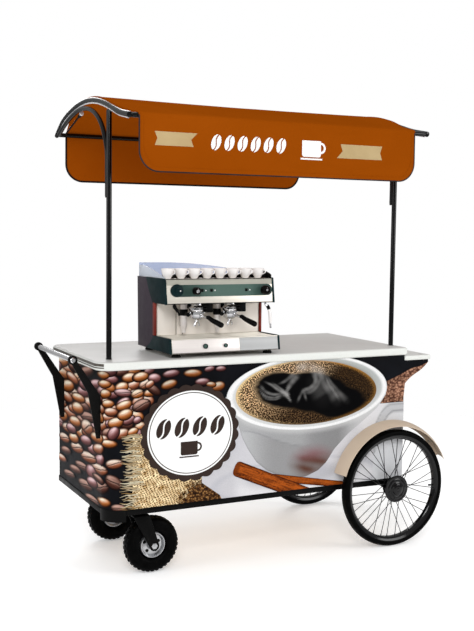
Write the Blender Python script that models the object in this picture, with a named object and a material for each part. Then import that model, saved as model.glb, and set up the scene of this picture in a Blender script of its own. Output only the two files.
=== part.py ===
"""Push vending cart: spoked wheels, swivel casters, printed body, canopy and a coffee machine.

The cart's length runs along X with the push handle at -X, its front faces -Y, and Z is up.
Pieces are dimensioned from the middle of the body; one empty then puts the origin under the
middle of the whole cart.
"""
from math import cos, pi, radians, sin, sqrt

import bmesh
import bpy
from mathutils import Matrix, Vector

# ---------------------------------------------------------------- driving dimensions (metres)
GAP = 0.0003                     # air left between pieces that touch

BODY_X = 0.815                   # half length of the body
BODY_Y = 0.380                   # half width of the body
CORNER_R = 0.090                 # front corner by the handle
PANEL_T = 0.006

FRAME_Z0 = 0.316
FRAME_Z1 = 0.343
BAY_Y = 0.320                    # half width of the frame's open bays
BAYS_X = ((-0.755, -0.700), (-0.550, -0.120), (-0.080, 0.330), (0.370, 0.710))

UPRIGHT_X = 0.770
UPRIGHT_Y = 0.335
UPRIGHT_SIDE = 0.025

COUNTER_Z1 = 1.030
COUNTER_T = 0.040
COUNTER_X = (-0.860, 0.825)
COUNTER_Y = 0.395
COUNTER_R = 0.075

SHELF_TIP_X = 0.980
SHELF_Z1 = 0.985
SHELF_T = 0.025
CORBEL_TIP_X = 0.968
CORBEL_FOOT_Z = 0.834

HANDLE_X = -0.947
HANDLE_Z = 1.035
HANDLE_R = 0.0125
HANDLE_ARM_Y = 0.285
HANDLE_ARM_T = 0.008
HANDLE_EYE_R = 0.021

WHEEL_X = 0.727
WHEEL_Y = 0.425
WHEEL_R = 0.305
TYRE_HALF_W = 0.027
RIM_R0 = 0.243
RIM_R1 = 0.2557
RIM_HALF_W = 0.019
HUB_FLANGE_R = 0.045
HUB_FLANGE_T = 0.024             # flange plane, measured from the wheel's middle plane
HUB_CAP_R = 0.070
SPOKE_R = 0.0014
SPOKES_PER_SIDE = 18
AXLE_R = 0.0095
AXLE_HALF_L = 0.450

GUARD_T = 0.003
GUARD_SECTION = ((0.348, 0.3803), (0.347, 0.405), (0.340, 0.435), (0.328, 0.4603))  # outer (r, y)
GUARD_ARC = (23.0, 163.0)        # degrees, from +X towards +Z
GUARD_FLANGE = 0.022

CASTER_X = -0.620                # swivel axis
CASTER_Y = 0.270
CASTER_TRAIL = 0.060
CASTER_R = 0.135
CASTER_HALF_W = 0.0425
CASTER_RIM_R = 0.0622
CASTER_BOLT_R = 0.008
CASTER_LEG = (0.0485, 0.0535)    # fork leg, measured from the wheel's middle plane

POST_X = (-0.774, 0.795)
POST_Y = -0.281
POST_R = 0.0125
HOOP_R = 0.011
RAIL_R = 0.0115
RAIL_Y = 0.540
RAIL_Z = 2.115
HOOP_END_Y = 0.5480
HOOP_CROWN = ((-0.420, 2.139), (-0.330, 2.166), (-0.230, 2.196), (-0.110, 2.223),
              (0.020, 2.236), (0.150, 2.232), (0.290, 2.212), (0.420, 2.178))
BRACE_FOOT_Z = 1.775

COVER_LIFT = 0.015               # cloth's middle surface above the hoop's centreline
COVER_T = 0.003
COVER_HEM_Z = 1.877
COVER_ROOF_X = (-0.762, 0.783)
COVER_FRONT_X = (-0.734, 0.712)
COVER_BACK_X = (-0.720, 0.700)
COVER_CORNER_R = 0.090

DOOR_EDGE_X = 0.8085             # outer edge of each sliding door
DOOR_LAP = 0.010                 # each door passes the middle by this much
DOOR_T = 0.0117
BOARD_REAR_Y = 0.350

MACHINE_X = (-0.505, 0.070)
MACHINE_FLOOR = COUNTER_Z1 + GAP
MACHINE_BASE_Z = 1.050
MACHINE_TOP_Z = 1.395
MACHINE_BACK_Y = 0.058
TRAY_TOP_Z = 1.118
HOOD_Z = 1.278
FASCIA_Y = (-0.294, -0.312)      # top and bottom edges of the sloping fascia
SPLASH_Y = -0.170
GROUP_X = (-0.318, -0.140)
GROUP_Y = -0.245
KNOB_X = (-0.356, 0.012)
CONTROL_Z = 1.340
BUTTON_X = (-0.316, -0.268, -0.081)
BUTTON_SIDE = 0.012

# the whole cart reaches from the handle's eye to the mudguard's front end
CART_X0 = HANDLE_X - HANDLE_EYE_R
CART_X1 = WHEEL_X + GUARD_SECTION[0][0] * cos(radians(GUARD_ARC[0]))
MIDDLE_X = (CART_X0 + CART_X1) / 2


# ---------------------------------------------------------------- scene and materials
for old in list(bpy.data.objects):
    bpy.data.objects.remove(old, do_unlink=True)

origin = bpy.data.objects.new("cart_origin", None)
origin.location = (-MIDDLE_X, 0, 0)
bpy.context.scene.collection.objects.link(origin)


def material(name, colour, roughness, metallic=0.0, alpha=1.0):
    """Principled material with one colour."""
    made = bpy.data.materials.new(name)
    made.use_nodes = True
    shader = made.node_tree.nodes["Principled BSDF"]
    shader.inputs["Base Color"].default_value = (*colour, 1)
    shader.inputs["Roughness"].default_value = roughness
    shader.inputs["Metallic"].default_value = metallic
    shader.inputs["Alpha"].default_value = alpha
    made.diffuse_color = (*colour, alpha)
    return made


BLACK_PAINT = material("black_paint", (0.012, 0.012, 0.014), 0.25)
DARK_STEEL = material("dark_steel", (0.03, 0.03, 0.032), 0.4, 0.6)
PRINTED_SKIN = material("printed_skin", (0.20, 0.10, 0.05), 0.35)
WHITE_LAMINATE = material("white_laminate", (0.75, 0.76, 0.73), 0.35)
BOARD = material("board", (0.42, 0.30, 0.18), 0.6)
CHROME = material("chrome", (0.8, 0.8, 0.82), 0.08, 1.0)
ZINC = material("zinc", (0.55, 0.56, 0.58), 0.3, 1.0)
TYRE = material("tyre", (0.015, 0.015, 0.015), 0.8)
TAN_PAINT = material("tan_paint", (0.53, 0.42, 0.33), 0.45)
CLOTH = material("orange_cloth", (0.31, 0.061, 0.003), 0.85)
STAINLESS = material("stainless", (0.7, 0.7, 0.68), 0.25, 1.0)
BLACK_PLASTIC = material("black_plastic", (0.02, 0.02, 0.022), 0.4)
SMOKED_ACRYLIC = material("smoked_acrylic", (0.5, 0.58, 0.75), 0.1, 0.0, 0.5)


# ---------------------------------------------------------------- modelling helpers
def on_axis(axis, along, a, b):
    """A point at `along` on the axis, with a and b on the other two axes in X, Y, Z order."""
    return {"X": (along, a, b), "Y": (a, along, b), "Z": (a, b, along)}[axis]


def skin(sections, closed=False):
    """Closed solid through matching cross-sections; the ends are capped unless it is a ring."""
    bm = bmesh.new()
    rings = [[bm.verts.new(point) for point in section] for section in sections]
    count = len(rings[0])
    pairs = list(zip(rings, rings[1:] + rings[:1])) if closed else list(zip(rings, rings[1:]))
    for first, second in pairs:
        for i in range(count):
            j = (i + 1) % count
            bm.faces.new((first[i], first[j], second[j], second[i]))
    if not closed:
        bm.faces.new(rings[0])
        bm.faces.new(rings[-1])
    bmesh.ops.recalc_face_normals(bm, faces=bm.faces)
    return bm


def prism(outline, axis, low, high):
    """A flat outline swept along one axis."""
    return skin([[on_axis(axis, at, a, b) for a, b in outline] for at in (low, high)])


def box(low, high):
    """A rectangular block between two corners."""
    (x0, y0, z0), (x1, y1, z1) = low, high
    return prism(((x0, y0), (x1, y0), (x1, y1), (x0, y1)), "Z", z0, z1)


def arc(centre, radius, start, end, steps):
    """Points of a circular arc; angles in degrees."""
    angles = [radians(start + (end - start) * i / steps) for i in range(steps + 1)]
    return [(centre[0] + radius * cos(t), centre[1] + radius * sin(t)) for t in angles]


def ring(profile, centre, axis, segments):
    """A closed profile of (radius, along) points turned right round an axis."""
    sections = []
    for i in range(segments):
        turn = 2 * pi * i / segments - pi / 2
        sections.append([on_axis(axis, along, radius * cos(turn), radius * sin(turn))
                         for radius, along in profile])
    bm = skin(sections, closed=True)
    bmesh.ops.translate(bm, verts=bm.verts, vec=centre)
    return bm


def turned(profile, centre, axis, segments):
    """A solid turned round an axis; the profile runs along it, with a flat at each end."""
    sections = []
    for radius, along in profile:
        turns = [2 * pi * i / segments - pi / 2 for i in range(segments)]
        sections.append([on_axis(axis, along, radius * cos(t), radius * sin(t)) for t in turns])
    bm = skin(sections)
    bmesh.ops.translate(bm, verts=bm.verts, vec=centre)
    return bm


def rod(start, end, radius, sides):
    """A straight round bar between two points."""
    start, end = Vector(start), Vector(end)
    bm = bmesh.new()
    bmesh.ops.create_cone(bm, cap_ends=True, segments=sides, radius1=radius, radius2=radius,
                          depth=(end - start).length)
    turn = (end - start).to_track_quat("Z", "Y").to_matrix().to_4x4()
    bmesh.ops.transform(bm, matrix=Matrix.Translation((start + end) / 2) @ turn, verts=bm.verts)
    return bm


def together(shapes):
    """Several separate shapes in one mesh, to be joined to or cut from another in one step."""
    bm = bmesh.new()
    for shape in shapes:
        mesh = bpy.data.meshes.new("part_of_group")
        shape.to_mesh(mesh)
        shape.free()
        bm.from_mesh(mesh)
        bpy.data.meshes.remove(mesh)
    return bm


def loose_object(bm):
    """A temporary object that holds a mesh."""
    mesh = bpy.data.meshes.new("loose")
    bm.to_mesh(mesh)
    bm.free()
    made = bpy.data.objects.new("loose", mesh)
    bpy.context.scene.collection.objects.link(made)
    return made


def combined(base, tool, operation):
    """The exact union or difference of two closed meshes."""
    target, other = loose_object(base), loose_object(tool)
    step = target.modifiers.new("step", "BOOLEAN")
    step.operation = operation
    step.solver = "EXACT"
    step.object = other
    shaped = target.evaluated_get(bpy.context.evaluated_depsgraph_get())
    mesh = bpy.data.meshes.new_from_object(shaped)
    bm = bmesh.new()
    bm.from_mesh(mesh)
    bpy.data.objects.remove(target)
    bpy.data.objects.remove(other)
    bpy.data.meshes.remove(mesh)
    return bm


def union(base, *shapes):
    """One body made of overlapping shapes."""
    for shape in shapes:
        base = combined(base, shape, "UNION")
    return base


def cut(base, *shapes):
    """A body with shapes taken out of it."""
    for shape in shapes:
        base = combined(base, shape, "DIFFERENCE")
    return base


def smooth_path(points, steps=3):
    """A Catmull-Rom curve through the points, with `steps` pieces between neighbours."""
    points = [Vector(p) for p in points]
    ends = [2 * points[0] - points[1]] + points + [2 * points[-1] - points[-2]]
    path = []
    for a, b, c, d in zip(ends, ends[1:], ends[2:], ends[3:]):
        for i in range(steps):
            t = i / steps
            path.append(0.5 * (2 * b + (c - a) * t + (2 * a - 5 * b + 4 * c - d) * t ** 2
                               + (3 * b - a - 3 * c + d) * t ** 3))
    return path + [points[-1]]


def add(name, bm, look, pivot=(0, 0, 0), round_shape=False):
    """Puts a mesh in the scene as a named piece whose origin lies on its pivot."""
    bmesh.ops.translate(bm, verts=bm.verts, vec=[-v for v in pivot])
    mesh = bpy.data.meshes.new(name)
    bm.to_mesh(mesh)
    bm.free()
    mesh.materials.append(look)
    if round_shape:
        mesh.shade_smooth()
        mesh.set_sharp_from_angle(angle=radians(40))
    made = bpy.data.objects.new(name, mesh)
    made.parent = origin
    made.location = pivot
    bpy.context.scene.collection.objects.link(made)
    return made


def add_tube(name, path, radius, look, pivot=(0, 0, 0), sides_per_quarter=2):
    """A bent round tube along a path, with closed ends."""
    curve = bpy.data.curves.new(name, "CURVE")
    curve.dimensions = "3D"
    curve.bevel_depth = radius
    curve.bevel_resolution = sides_per_quarter
    curve.use_fill_caps = True
    spline = curve.splines.new("POLY")
    spline.points.add(len(path) - 1)
    for point, place in zip(spline.points, path):
        point.co = (*(Vector(place) - Vector(pivot)), 1)
    curve.materials.append(look)
    made = bpy.data.objects.new(name, curve)
    made.parent = origin
    made.location = pivot
    bpy.context.scene.collection.objects.link(made)
    return made


# ---------------------------------------------------------------- frame and body
def build_base_frame():
    """Welded bottom frame: rails, cross members and two hangers that hold the axle."""
    centre = (-BODY_X + CORNER_R, -BODY_Y + CORNER_R)
    inner_r = CORNER_R - PANEL_T - GAP
    outline = [(BODY_X, -BODY_Y), (BODY_X, BODY_Y), (-BODY_X, BODY_Y), (-BODY_X, centre[1])]
    outline += arc(centre, inner_r, 180, 270, 6) + [(centre[0], -BODY_Y)]
    frame = prism(outline, "Z", FRAME_Z0, FRAME_Z1)
    bays = [box((x0, -BAY_Y, FRAME_Z0 - 0.01), (x1, BAY_Y, FRAME_Z1 + 0.01)) for x0, x1 in BAYS_X]
    web = 0.003
    rail_y = (BAY_Y + web, BODY_Y - web)
    channels = [((-0.700, -rail_y[1]), (0.700, -rail_y[0])), ((-0.700, rail_y[0]), (0.700, rail_y[1])),
                ((BAYS_X[0][1] + web, -0.200), (BAYS_X[1][0] - web, 0.200)),
                ((BAYS_X[3][1] + web, -0.300), (BODY_X - web, 0.300)),
                ((-BODY_X + web, -0.200), (BAYS_X[0][0] - web, 0.300))]
    hollows = [box((*low, FRAME_Z0 - 0.01), (*high, FRAME_Z1 - web)) for low, high in channels]
    frame = cut(frame, together(bays), together(hollows))
    half = 0.018
    hanger = [(WHEEL_X - half, FRAME_Z0 + 0.005), (WHEEL_X - half, WHEEL_R)]
    hanger += arc((WHEEL_X, WHEEL_R), half, 180, 360, 8)[1:-1]
    hanger += [(WHEEL_X + half, WHEEL_R), (WHEEL_X + half, FRAME_Z0 + 0.005)]
    hangers = [prism(hanger, "Y", y - 0.006, y + 0.006) for y in (-0.350, 0.350)]
    frame = union(frame, together(hangers))
    reach = 0.40
    bore = rod((WHEEL_X, -reach, WHEEL_R), (WHEEL_X, reach, WHEEL_R), AXLE_R + GAP, 24)
    add("base_frame", cut(frame, bore), BLACK_PAINT)


def build_uprights_and_rails():
    """Square posts inside the body and the two rails that carry the counter."""
    half = UPRIGHT_SIDE / 2
    rail_z1 = COUNTER_Z1 - COUNTER_T - GAP
    rail_z0 = rail_z1 - UPRIGHT_SIDE
    for depth, y in (("front", -UPRIGHT_Y), ("rear", UPRIGHT_Y)):
        for side, x in (("left", -UPRIGHT_X), ("right", UPRIGHT_X)):
            post = box((x - half, y - half, FRAME_Z1 + GAP), (x + half, y + half, rail_z0 - GAP))
            add(f"upright_{depth}_{side}", post, DARK_STEEL)
        rail = box((-0.785, y - half, rail_z0), (0.800, y + half, rail_z1))
        add(f"top_rail_{depth}", rail, DARK_STEEL)


def build_boards():
    """The storage floor and the shelf half way up."""
    reach = UPRIGHT_X - UPRIGHT_SIDE / 2 - GAP
    floor_z = FRAME_Z1 + GAP
    add("floor_panel", box((-reach, -0.360, floor_z), (reach, BOARD_REAR_Y, floor_z + 0.012)), BOARD)
    add("inner_shelf", box((-reach, -0.360, 0.660), (reach, BOARD_REAR_Y, 0.672)), BOARD)


def corbel_outline():
    """The curved underside of the shelf bracket, from its foot on the body to its tip."""
    foot, tip = (BODY_X, CORBEL_FOOT_Z), (CORBEL_TIP_X, SHELF_Z1 - SHELF_T - 0.013)
    steps = 8
    points = []
    for i in range(steps + 1):
        t = i / steps
        points.append((foot[0] + (tip[0] - foot[0]) * t,
                       foot[1] + (tip[1] - foot[1]) * (t + 0.05 * sin(2 * pi * t))))
    return points


def build_panels():
    """Printed skins: front with its corbel, rounded corner and both ends."""
    bottom = FRAME_Z1 + GAP
    top = COUNTER_Z1 - COUNTER_T - GAP
    under_shelf = SHELF_Z1 - SHELF_T - GAP
    centre = (-BODY_X + CORNER_R, -BODY_Y + CORNER_R)
    front = [(centre[0] + GAP, bottom), (BODY_X, bottom)] + corbel_outline()
    front += [(CORBEL_TIP_X, under_shelf), (BODY_X, under_shelf), (BODY_X, top)]
    front += [(centre[0] + GAP, top)]
    add("front_panel", prism(front, "Y", -BODY_Y, -BODY_Y + PANEL_T), PRINTED_SKIN)
    outer = arc(centre, CORNER_R, 180, 270, 10)
    inner = arc(centre, CORNER_R - PANEL_T, 270, 180, 10)
    add("corner_panel", prism(outer + inner, "Z", FRAME_Z0, top), PRINTED_SKIN)
    rear_y = BODY_Y - PANEL_T - GAP
    left = box((-BODY_X, centre[1] + GAP, bottom), (-BODY_X + PANEL_T, rear_y, top))
    add("left_end_panel", left, PRINTED_SKIN)
    right = box((BODY_X - PANEL_T, -BODY_Y + PANEL_T + GAP, bottom), (BODY_X, rear_y, top))
    add("right_end_panel", right, PRINTED_SKIN)


def build_counter_and_shelf():
    """The laminate counter and the drop-level shelf at the wheel end."""
    x0, x1 = COUNTER_X
    y, r, small = COUNTER_Y, COUNTER_R, 0.012
    outline = arc((x0 + r, -y + r), r, 180, 270, 6) + arc((x1 - small, -y + small), small, 270, 360, 2)
    outline += arc((x1 - small, y - small), small, 0, 90, 2) + arc((x0 + r, y - r), r, 90, 180, 6)
    top = prism(outline, "Z", COUNTER_Z1 - COUNTER_T, COUNTER_Z1)
    counter = add("counter_top", top, WHITE_LAMINATE)
    edge = counter.modifiers.new("rounded_edge", "BEVEL")
    edge.width = 0.010
    edge.segments = 2
    edge.angle_limit = radians(60)
    shelf = box((BODY_X + GAP, -0.386, SHELF_Z1 - SHELF_T), (SHELF_TIP_X, 0.386, SHELF_Z1))
    gusset = [(BODY_X + GAP, CORBEL_FOOT_Z)] + corbel_outline()[1:]
    gusset += [(CORBEL_TIP_X, SHELF_Z1 - SHELF_T / 2), (BODY_X + GAP, SHELF_Z1 - SHELF_T / 2)]
    shelf = union(shelf, prism(gusset, "Y", 0.368, 0.374))
    add("side_shelf", shelf, WHITE_LAMINATE)


def build_handle():
    """Two flat bent arms with eyes, and the push bar through them."""
    eye = Vector((HANDLE_X, HANDLE_Z))
    face_x = -BODY_X - GAP
    shoulder, elbow, toe_z = Vector((face_x, 0.862)), Vector((-0.875, 0.880)), 0.667
    reach = (shoulder - eye).normalized()
    side = Vector((-reach.y, reach.x)) * 0.013
    outline = [eye + side, shoulder, (face_x, toe_z), (face_x - 0.020, toe_z), elbow, eye - side]
    for depth, y in (("front", -HANDLE_ARM_Y), ("rear", HANDLE_ARM_Y)):
        y0, y1 = y - HANDLE_ARM_T / 2, y + HANDLE_ARM_T / 2
        arm = prism([tuple(p) for p in outline], "Y", y0, y1)
        ring_end = rod((HANDLE_X, y0 - 0.004, HANDLE_Z), (HANDLE_X, y1 + 0.004, HANDLE_Z),
                       HANDLE_EYE_R, 24)
        bore = rod((HANDLE_X, y - 0.05, HANDLE_Z), (HANDLE_X, y + 0.05, HANDLE_Z),
                   HANDLE_R + GAP, 24)
        add(f"handle_arm_{depth}", cut(union(arm, ring_end), bore), BLACK_PAINT)
    half = HANDLE_ARM_Y + 0.012
    profile = ((HANDLE_R - 0.002, -half), (HANDLE_R, -half + 0.002), (HANDLE_R, half - 0.002),
               (HANDLE_R - 0.002, half))
    add("handle_bar", turned(profile, (HANDLE_X, 0, HANDLE_Z), "Y", 20), CHROME, round_shape=True)


def build_doors():
    """Two sliding doors on the operator's side: the outer one has a bar pull, the inner a cup."""
    z0, z1 = FRAME_Z1 + 0.0005, COUNTER_Z1 - COUNTER_T - 0.0005
    outer_y, inner_y = BODY_Y - DOOR_T, BODY_Y - 2 * DOOR_T - 0.001
    middle_z = (z0 + z1) / 2
    outer = box((-DOOR_EDGE_X, outer_y, z0), (DOOR_LAP, outer_y + DOOR_T, z1))
    pull_x, pull_y = -0.760, BODY_Y + 0.024
    bar = rod((pull_x, pull_y, 0.720), (pull_x, pull_y, 0.860), 0.006, 10)
    stems = [rod((pull_x, BODY_Y - 0.004, z), (pull_x, pull_y, z), 0.0045, 8)
             for z in (0.735, 0.845)]
    outer = union(outer, together(stems), bar)
    add("back_door_left", outer, PRINTED_SKIN, (-DOOR_EDGE_X, outer_y, middle_z))
    inner = box((-DOOR_LAP, inner_y, z0), (DOOR_EDGE_X, inner_y + DOOR_T, z1))
    cup_x = 0.360
    cup = rod((cup_x, inner_y + DOOR_T - 0.006, 0.790), (cup_x, BODY_Y, 0.790), 0.020, 20)
    add("back_door_right", cut(inner, cup), PRINTED_SKIN, (DOOR_EDGE_X, inner_y, middle_z))


# ---------------------------------------------------------------- wheels
def oval(radius0, radius1, half_width, points, squareness):
    """A closed rounded profile between two radii."""
    middle, half = (radius0 + radius1) / 2, (radius1 - radius0) / 2
    profile = []
    for i in range(points):
        t = 2 * pi * i / points
        c, s = cos(t), sin(t)
        scale = (abs(c) ** squareness + abs(s) ** squareness) ** (-1 / squareness)
        profile.append((middle + half * c * scale, half_width * s * scale))
    return profile


def spoke_rods(middle, sign):
    """Wire spokes, evenly spaced at the rim; neighbours of one flange cross half way out."""
    rods = []
    lean = 2 * pi / SPOKES_PER_SIDE
    for flange in (-1, 1):
        for i in range(SPOKES_PER_SIDE):
            at_hub = 2 * pi * (i + 0.25 * (1 + flange)) / SPOKES_PER_SIDE
            at_rim = at_hub + (lean if i % 2 else -lean)
            apart = 0.0015 if i % 2 else -0.0015
            hub_y = middle[1] + sign * flange * (HUB_FLANGE_T + apart)
            rim_y = middle[1] + sign * flange * (0.0045 + apart)
            inner = HUB_FLANGE_R - 0.006
            outer = RIM_R0 - 2 * GAP
            start = (middle[0] + inner * cos(at_hub), hub_y, middle[2] + inner * sin(at_hub))
            end = (middle[0] + outer * cos(at_rim), rim_y, middle[2] + outer * sin(at_rim))
            rods.append(rod(start, end, SPOKE_R, 4))
    return rods


def build_wheels():
    """Two large wire-spoked wheels that turn on one fixed axle."""
    for depth, sign in (("front", -1), ("rear", 1)):
        middle = (WHEEL_X, sign * WHEEL_Y, WHEEL_R)
        tyre = oval(RIM_R1 + GAP, WHEEL_R, TYRE_HALF_W, 8, 2.3)
        add(f"wheel_tyre_{depth}", ring(tyre, middle, "Y", 48), TYRE, middle, True)
        rim = oval(RIM_R0, RIM_R1, RIM_HALF_W, 8, 4.0)
        add(f"wheel_rim_{depth}", ring(rim, middle, "Y", 48), BLACK_PAINT, middle, True)
        outline = ((0.016, -0.034), (0.020, -0.034), (0.020, -0.027), (HUB_FLANGE_R, -0.026),
                   (HUB_FLANGE_R, -0.022), (0.018, -0.020), (0.018, 0.020), (HUB_FLANGE_R, 0.022),
                   (HUB_FLANGE_R, 0.0275), (HUB_CAP_R, 0.029), (HUB_CAP_R, 0.036), (0.062, 0.041),
                   (0.030, 0.043), (0.026, 0.048), (0.010, 0.050))
        hub = turned([(r, sign * along) for r, along in outline], middle, "Y", 22)
        ends = [middle[1] + sign * along for along in (-0.050, 0.0265)]
        bore = rod((WHEEL_X, ends[0], WHEEL_R), (WHEEL_X, ends[1], WHEEL_R), AXLE_R + GAP, 20)
        hub = union(hub, together(spoke_rods(middle, sign)))
        add(f"spoked_hub_{depth}", cut(hub, bore), ZINC, middle, True)
    profile = ((AXLE_R - 0.001, -AXLE_HALF_L), (AXLE_R, -AXLE_HALF_L + 0.001),
               (AXLE_R, AXLE_HALF_L - 0.001), (AXLE_R - 0.001, AXLE_HALF_L))
    add("axle", turned(profile, (WHEEL_X, 0, WHEEL_R), "Y", 20), DARK_STEEL, round_shape=True)


def build_mudguards():
    """Bent strips over the large wheels, each with a flange screwed to the body."""
    steps = 24
    top_r, y0 = GUARD_SECTION[0]
    inside = [(r - GUARD_T, max(y, y0 + GUARD_T)) for r, y in reversed(GUARD_SECTION)]
    flange_r = top_r - GUARD_T - GUARD_FLANGE
    profile = [*GUARD_SECTION, *inside, (flange_r, y0 + GUARD_T), (flange_r, y0)]
    for depth, sign in (("front", -1), ("rear", 1)):
        sections = []
        for i in range(steps + 1):
            turn = radians(GUARD_ARC[0] + (GUARD_ARC[1] - GUARD_ARC[0]) * i / steps)
            sections.append([(WHEEL_X + r * cos(turn), sign * y, WHEEL_R + r * sin(turn))
                             for r, y in profile])
        add(f"mudguard_{depth}", skin(sections), TAN_PAINT, round_shape=True)


def build_casters():
    """Two swivel casters with air tyres: plate, fork with its bolt, tyre and rim."""
    plate_z1 = FRAME_Z0 - GAP
    plate_z0 = plate_z1 - 0.006
    crown_z1 = 0.290
    wheel_x = CASTER_X + CASTER_TRAIL
    for depth, sign in (("front", -1), ("rear", 1)):
        y = sign * CASTER_Y
        swivel = (CASTER_X, y, crown_z1)
        hub = (wheel_x, y, CASTER_R)
        plate = box((CASTER_X - 0.0675, y - 0.055, plate_z0), (CASTER_X + 0.0675, y + 0.055, plate_z1))
        add(f"caster_plate_{depth}", plate, BLACK_PAINT)
        fork = box((CASTER_X - 0.045, y - CASTER_LEG[1], crown_z1 - 0.008),
                   (CASTER_X + 0.035, y + CASTER_LEG[1], crown_z1))
        race = turned(((0.034, crown_z1 - 0.002), (0.034, crown_z1 + 0.012),
                       (0.028, plate_z0 - GAP)), (CASTER_X, y, 0), "Z", 20)
        leg = [(CASTER_X - 0.0452, crown_z1 - 0.001), (CASTER_X + 0.0352, crown_z1 - 0.001)]
        leg += arc((wheel_x, CASTER_R), 0.024, 20, -160, 8)
        legs = [prism(leg, "Y", y + a, y + b)
                for a, b in (CASTER_LEG, (-CASTER_LEG[1], -CASTER_LEG[0]))]
        bolt = rod((wheel_x, y - 0.060, CASTER_R), (wheel_x, y + 0.060, CASTER_R), CASTER_BOLT_R, 16)
        heads = [rod((wheel_x, y + s * 0.053, CASTER_R), (wheel_x, y + s * 0.062, CASTER_R), 0.013, 6)
                 for s in (-1, 1)]
        fork = union(fork, race, together(legs), bolt, together(heads))
        add(f"caster_fork_{depth}", fork, BLACK_PAINT, swivel)
        tyre = oval(CASTER_RIM_R + GAP, CASTER_R, CASTER_HALF_W, 8, 2.8)
        add(f"caster_tyre_{depth}", ring(tyre, hub, "Y", 36), TYRE, hub, True)
        bore_r = CASTER_BOLT_R + GAP
        rim = ((bore_r, -0.036), (0.018, -0.036), (0.018, -0.012), (0.050, -0.010), (0.056, -0.030),
               (CASTER_RIM_R, -0.030), (CASTER_RIM_R, 0.030), (0.056, 0.030), (0.050, 0.010),
               (0.018, 0.012), (0.018, 0.036), (bore_r, 0.036))
        add(f"caster_rim_{depth}", ring(rim, hub, "Y", 20), ZINC, hub, True)


# ---------------------------------------------------------------- canopy
def hoop_line():
    """Centreline of an end hoop in (y, z), front to back."""
    return ((-HOOP_END_Y, RAIL_Z - 0.001), (-RAIL_Y + 0.01, RAIL_Z + 0.003), *HOOP_CROWN,
            (RAIL_Y - 0.02, RAIL_Z + 0.012), (HOOP_END_Y, RAIL_Z - 0.010))


def build_posts_and_hoops():
    """Two posts on the counter, the end hoops, their back braces and the two long rails."""
    for side, x in (("left", POST_X[0]), ("right", POST_X[1])):
        foot = COUNTER_Z1 + GAP
        profile = ((0.018, foot), (0.018, foot + 0.006), (POST_R, foot + 0.008), (POST_R, 2.163))
        add(f"post_{side}", turned(profile, (x, POST_Y, 0), "Z", 16), BLACK_PAINT, round_shape=True)
        line = smooth_path([(x, y, z) for y, z in hoop_line()], 2)
        add_tube(f"hoop_{side}", line, HOOP_R, BLACK_PAINT)
        back_y = POST_Y + POST_R + HOOP_R + 2 * GAP
        route = ((back_y, BRACE_FOOT_Z), (back_y, 1.900), (back_y + 0.004, 1.980), (-0.215, 2.060),
                 (-0.155, 2.125), (-0.070, 2.172), (0.030, 2.198), (0.150, 2.205), (0.280, 2.186),
                 (0.400, 2.153), (0.500, 2.113))
        add_tube(f"brace_{side}", smooth_path([(x, y, z) for y, z in route], 2), HOOP_R, BLACK_PAINT)
    ends = (POST_X[0] + HOOP_R + GAP, POST_X[1] - HOOP_R - GAP)
    for depth, y in (("front", -RAIL_Y), ("rear", RAIL_Y)):
        add(f"{depth}_rail", rod((ends[0], y, RAIL_Z), (ends[1], y, RAIL_Z), RAIL_R, 14),
            BLACK_PAINT, round_shape=True)


def cover_rows():
    """The cover's cross-section from the back hem over the roof to the front hem.

    Each row is (y, z, x0, x1); the ends of the hanging flaps are rounded.
    """
    def flap(y, z, limits):
        drop = COVER_CORNER_R - (z - COVER_HEM_Z)
        inset = 0.0
        if drop > 0:
            inset = COVER_CORNER_R - sqrt(max(COVER_CORNER_R ** 2 - drop ** 2, 0))
        return (y, z, limits[0] + inset, limits[1] - inset)

    corner = [COVER_HEM_Z + COVER_CORNER_R * (1 - cos(radians(a))) for a in range(0, 91, 15)]
    flap_y = RAIL_Y + COVER_LIFT
    rows = [flap(flap_y, z, COVER_BACK_X) for z in (*corner, RAIL_Z - 0.02)]
    over = arc((RAIL_Y, RAIL_Z), COVER_LIFT, 0, 60, 3)
    rows += [(y, z, *COVER_BACK_X) for y, z in over]
    crown = smooth_path([(0, y, z) for y, z in reversed(HOOP_CROWN)], 1)
    for before, here, after in zip(crown, crown[1:], crown[2:]):
        along = (after - before).normalized()
        place = here + Vector((0, along.z, -along.y)) * COVER_LIFT
        blend = max(0.0, (abs(place.y) - 0.25) / (RAIL_Y - 0.25))
        edge = COVER_FRONT_X if place.y < 0 else COVER_BACK_X
        limits = [a + (b - a) * blend for a, b in zip(COVER_ROOF_X, edge)]
        rows.append((place.y, place.z, *limits))
    rows += [(-y, z, *COVER_FRONT_X) for y, z in reversed(over)]
    rows += [flap(-flap_y, z, COVER_FRONT_X) for z in (RAIL_Z - 0.02, *reversed(corner))]
    return rows


def build_cover():
    """Cloth cover: one sheet over the hoops that hangs down front and back."""
    half = COVER_T / 2
    rows = cover_rows()
    sections = []
    for i, (y, z, x0, x1) in enumerate(rows):
        before, after = rows[max(i - 1, 0)], rows[min(i + 1, len(rows) - 1)]
        along = Vector((after[0] - before[0], after[1] - before[1])).normalized()
        out = Vector((along.y, -along.x)) * half
        if i in (0, len(rows) - 1):
            x0, x1 = x0 + 0.01, x1 - 0.01
        sections.append([(x0, y + out.x, z + out.y), (x1, y + out.x, z + out.y),
                         (x1, y - out.x, z - out.y), (x0, y - out.x, z - out.y)])
    add("canopy_cover", skin(sections), CLOTH, round_shape=True)


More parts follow.
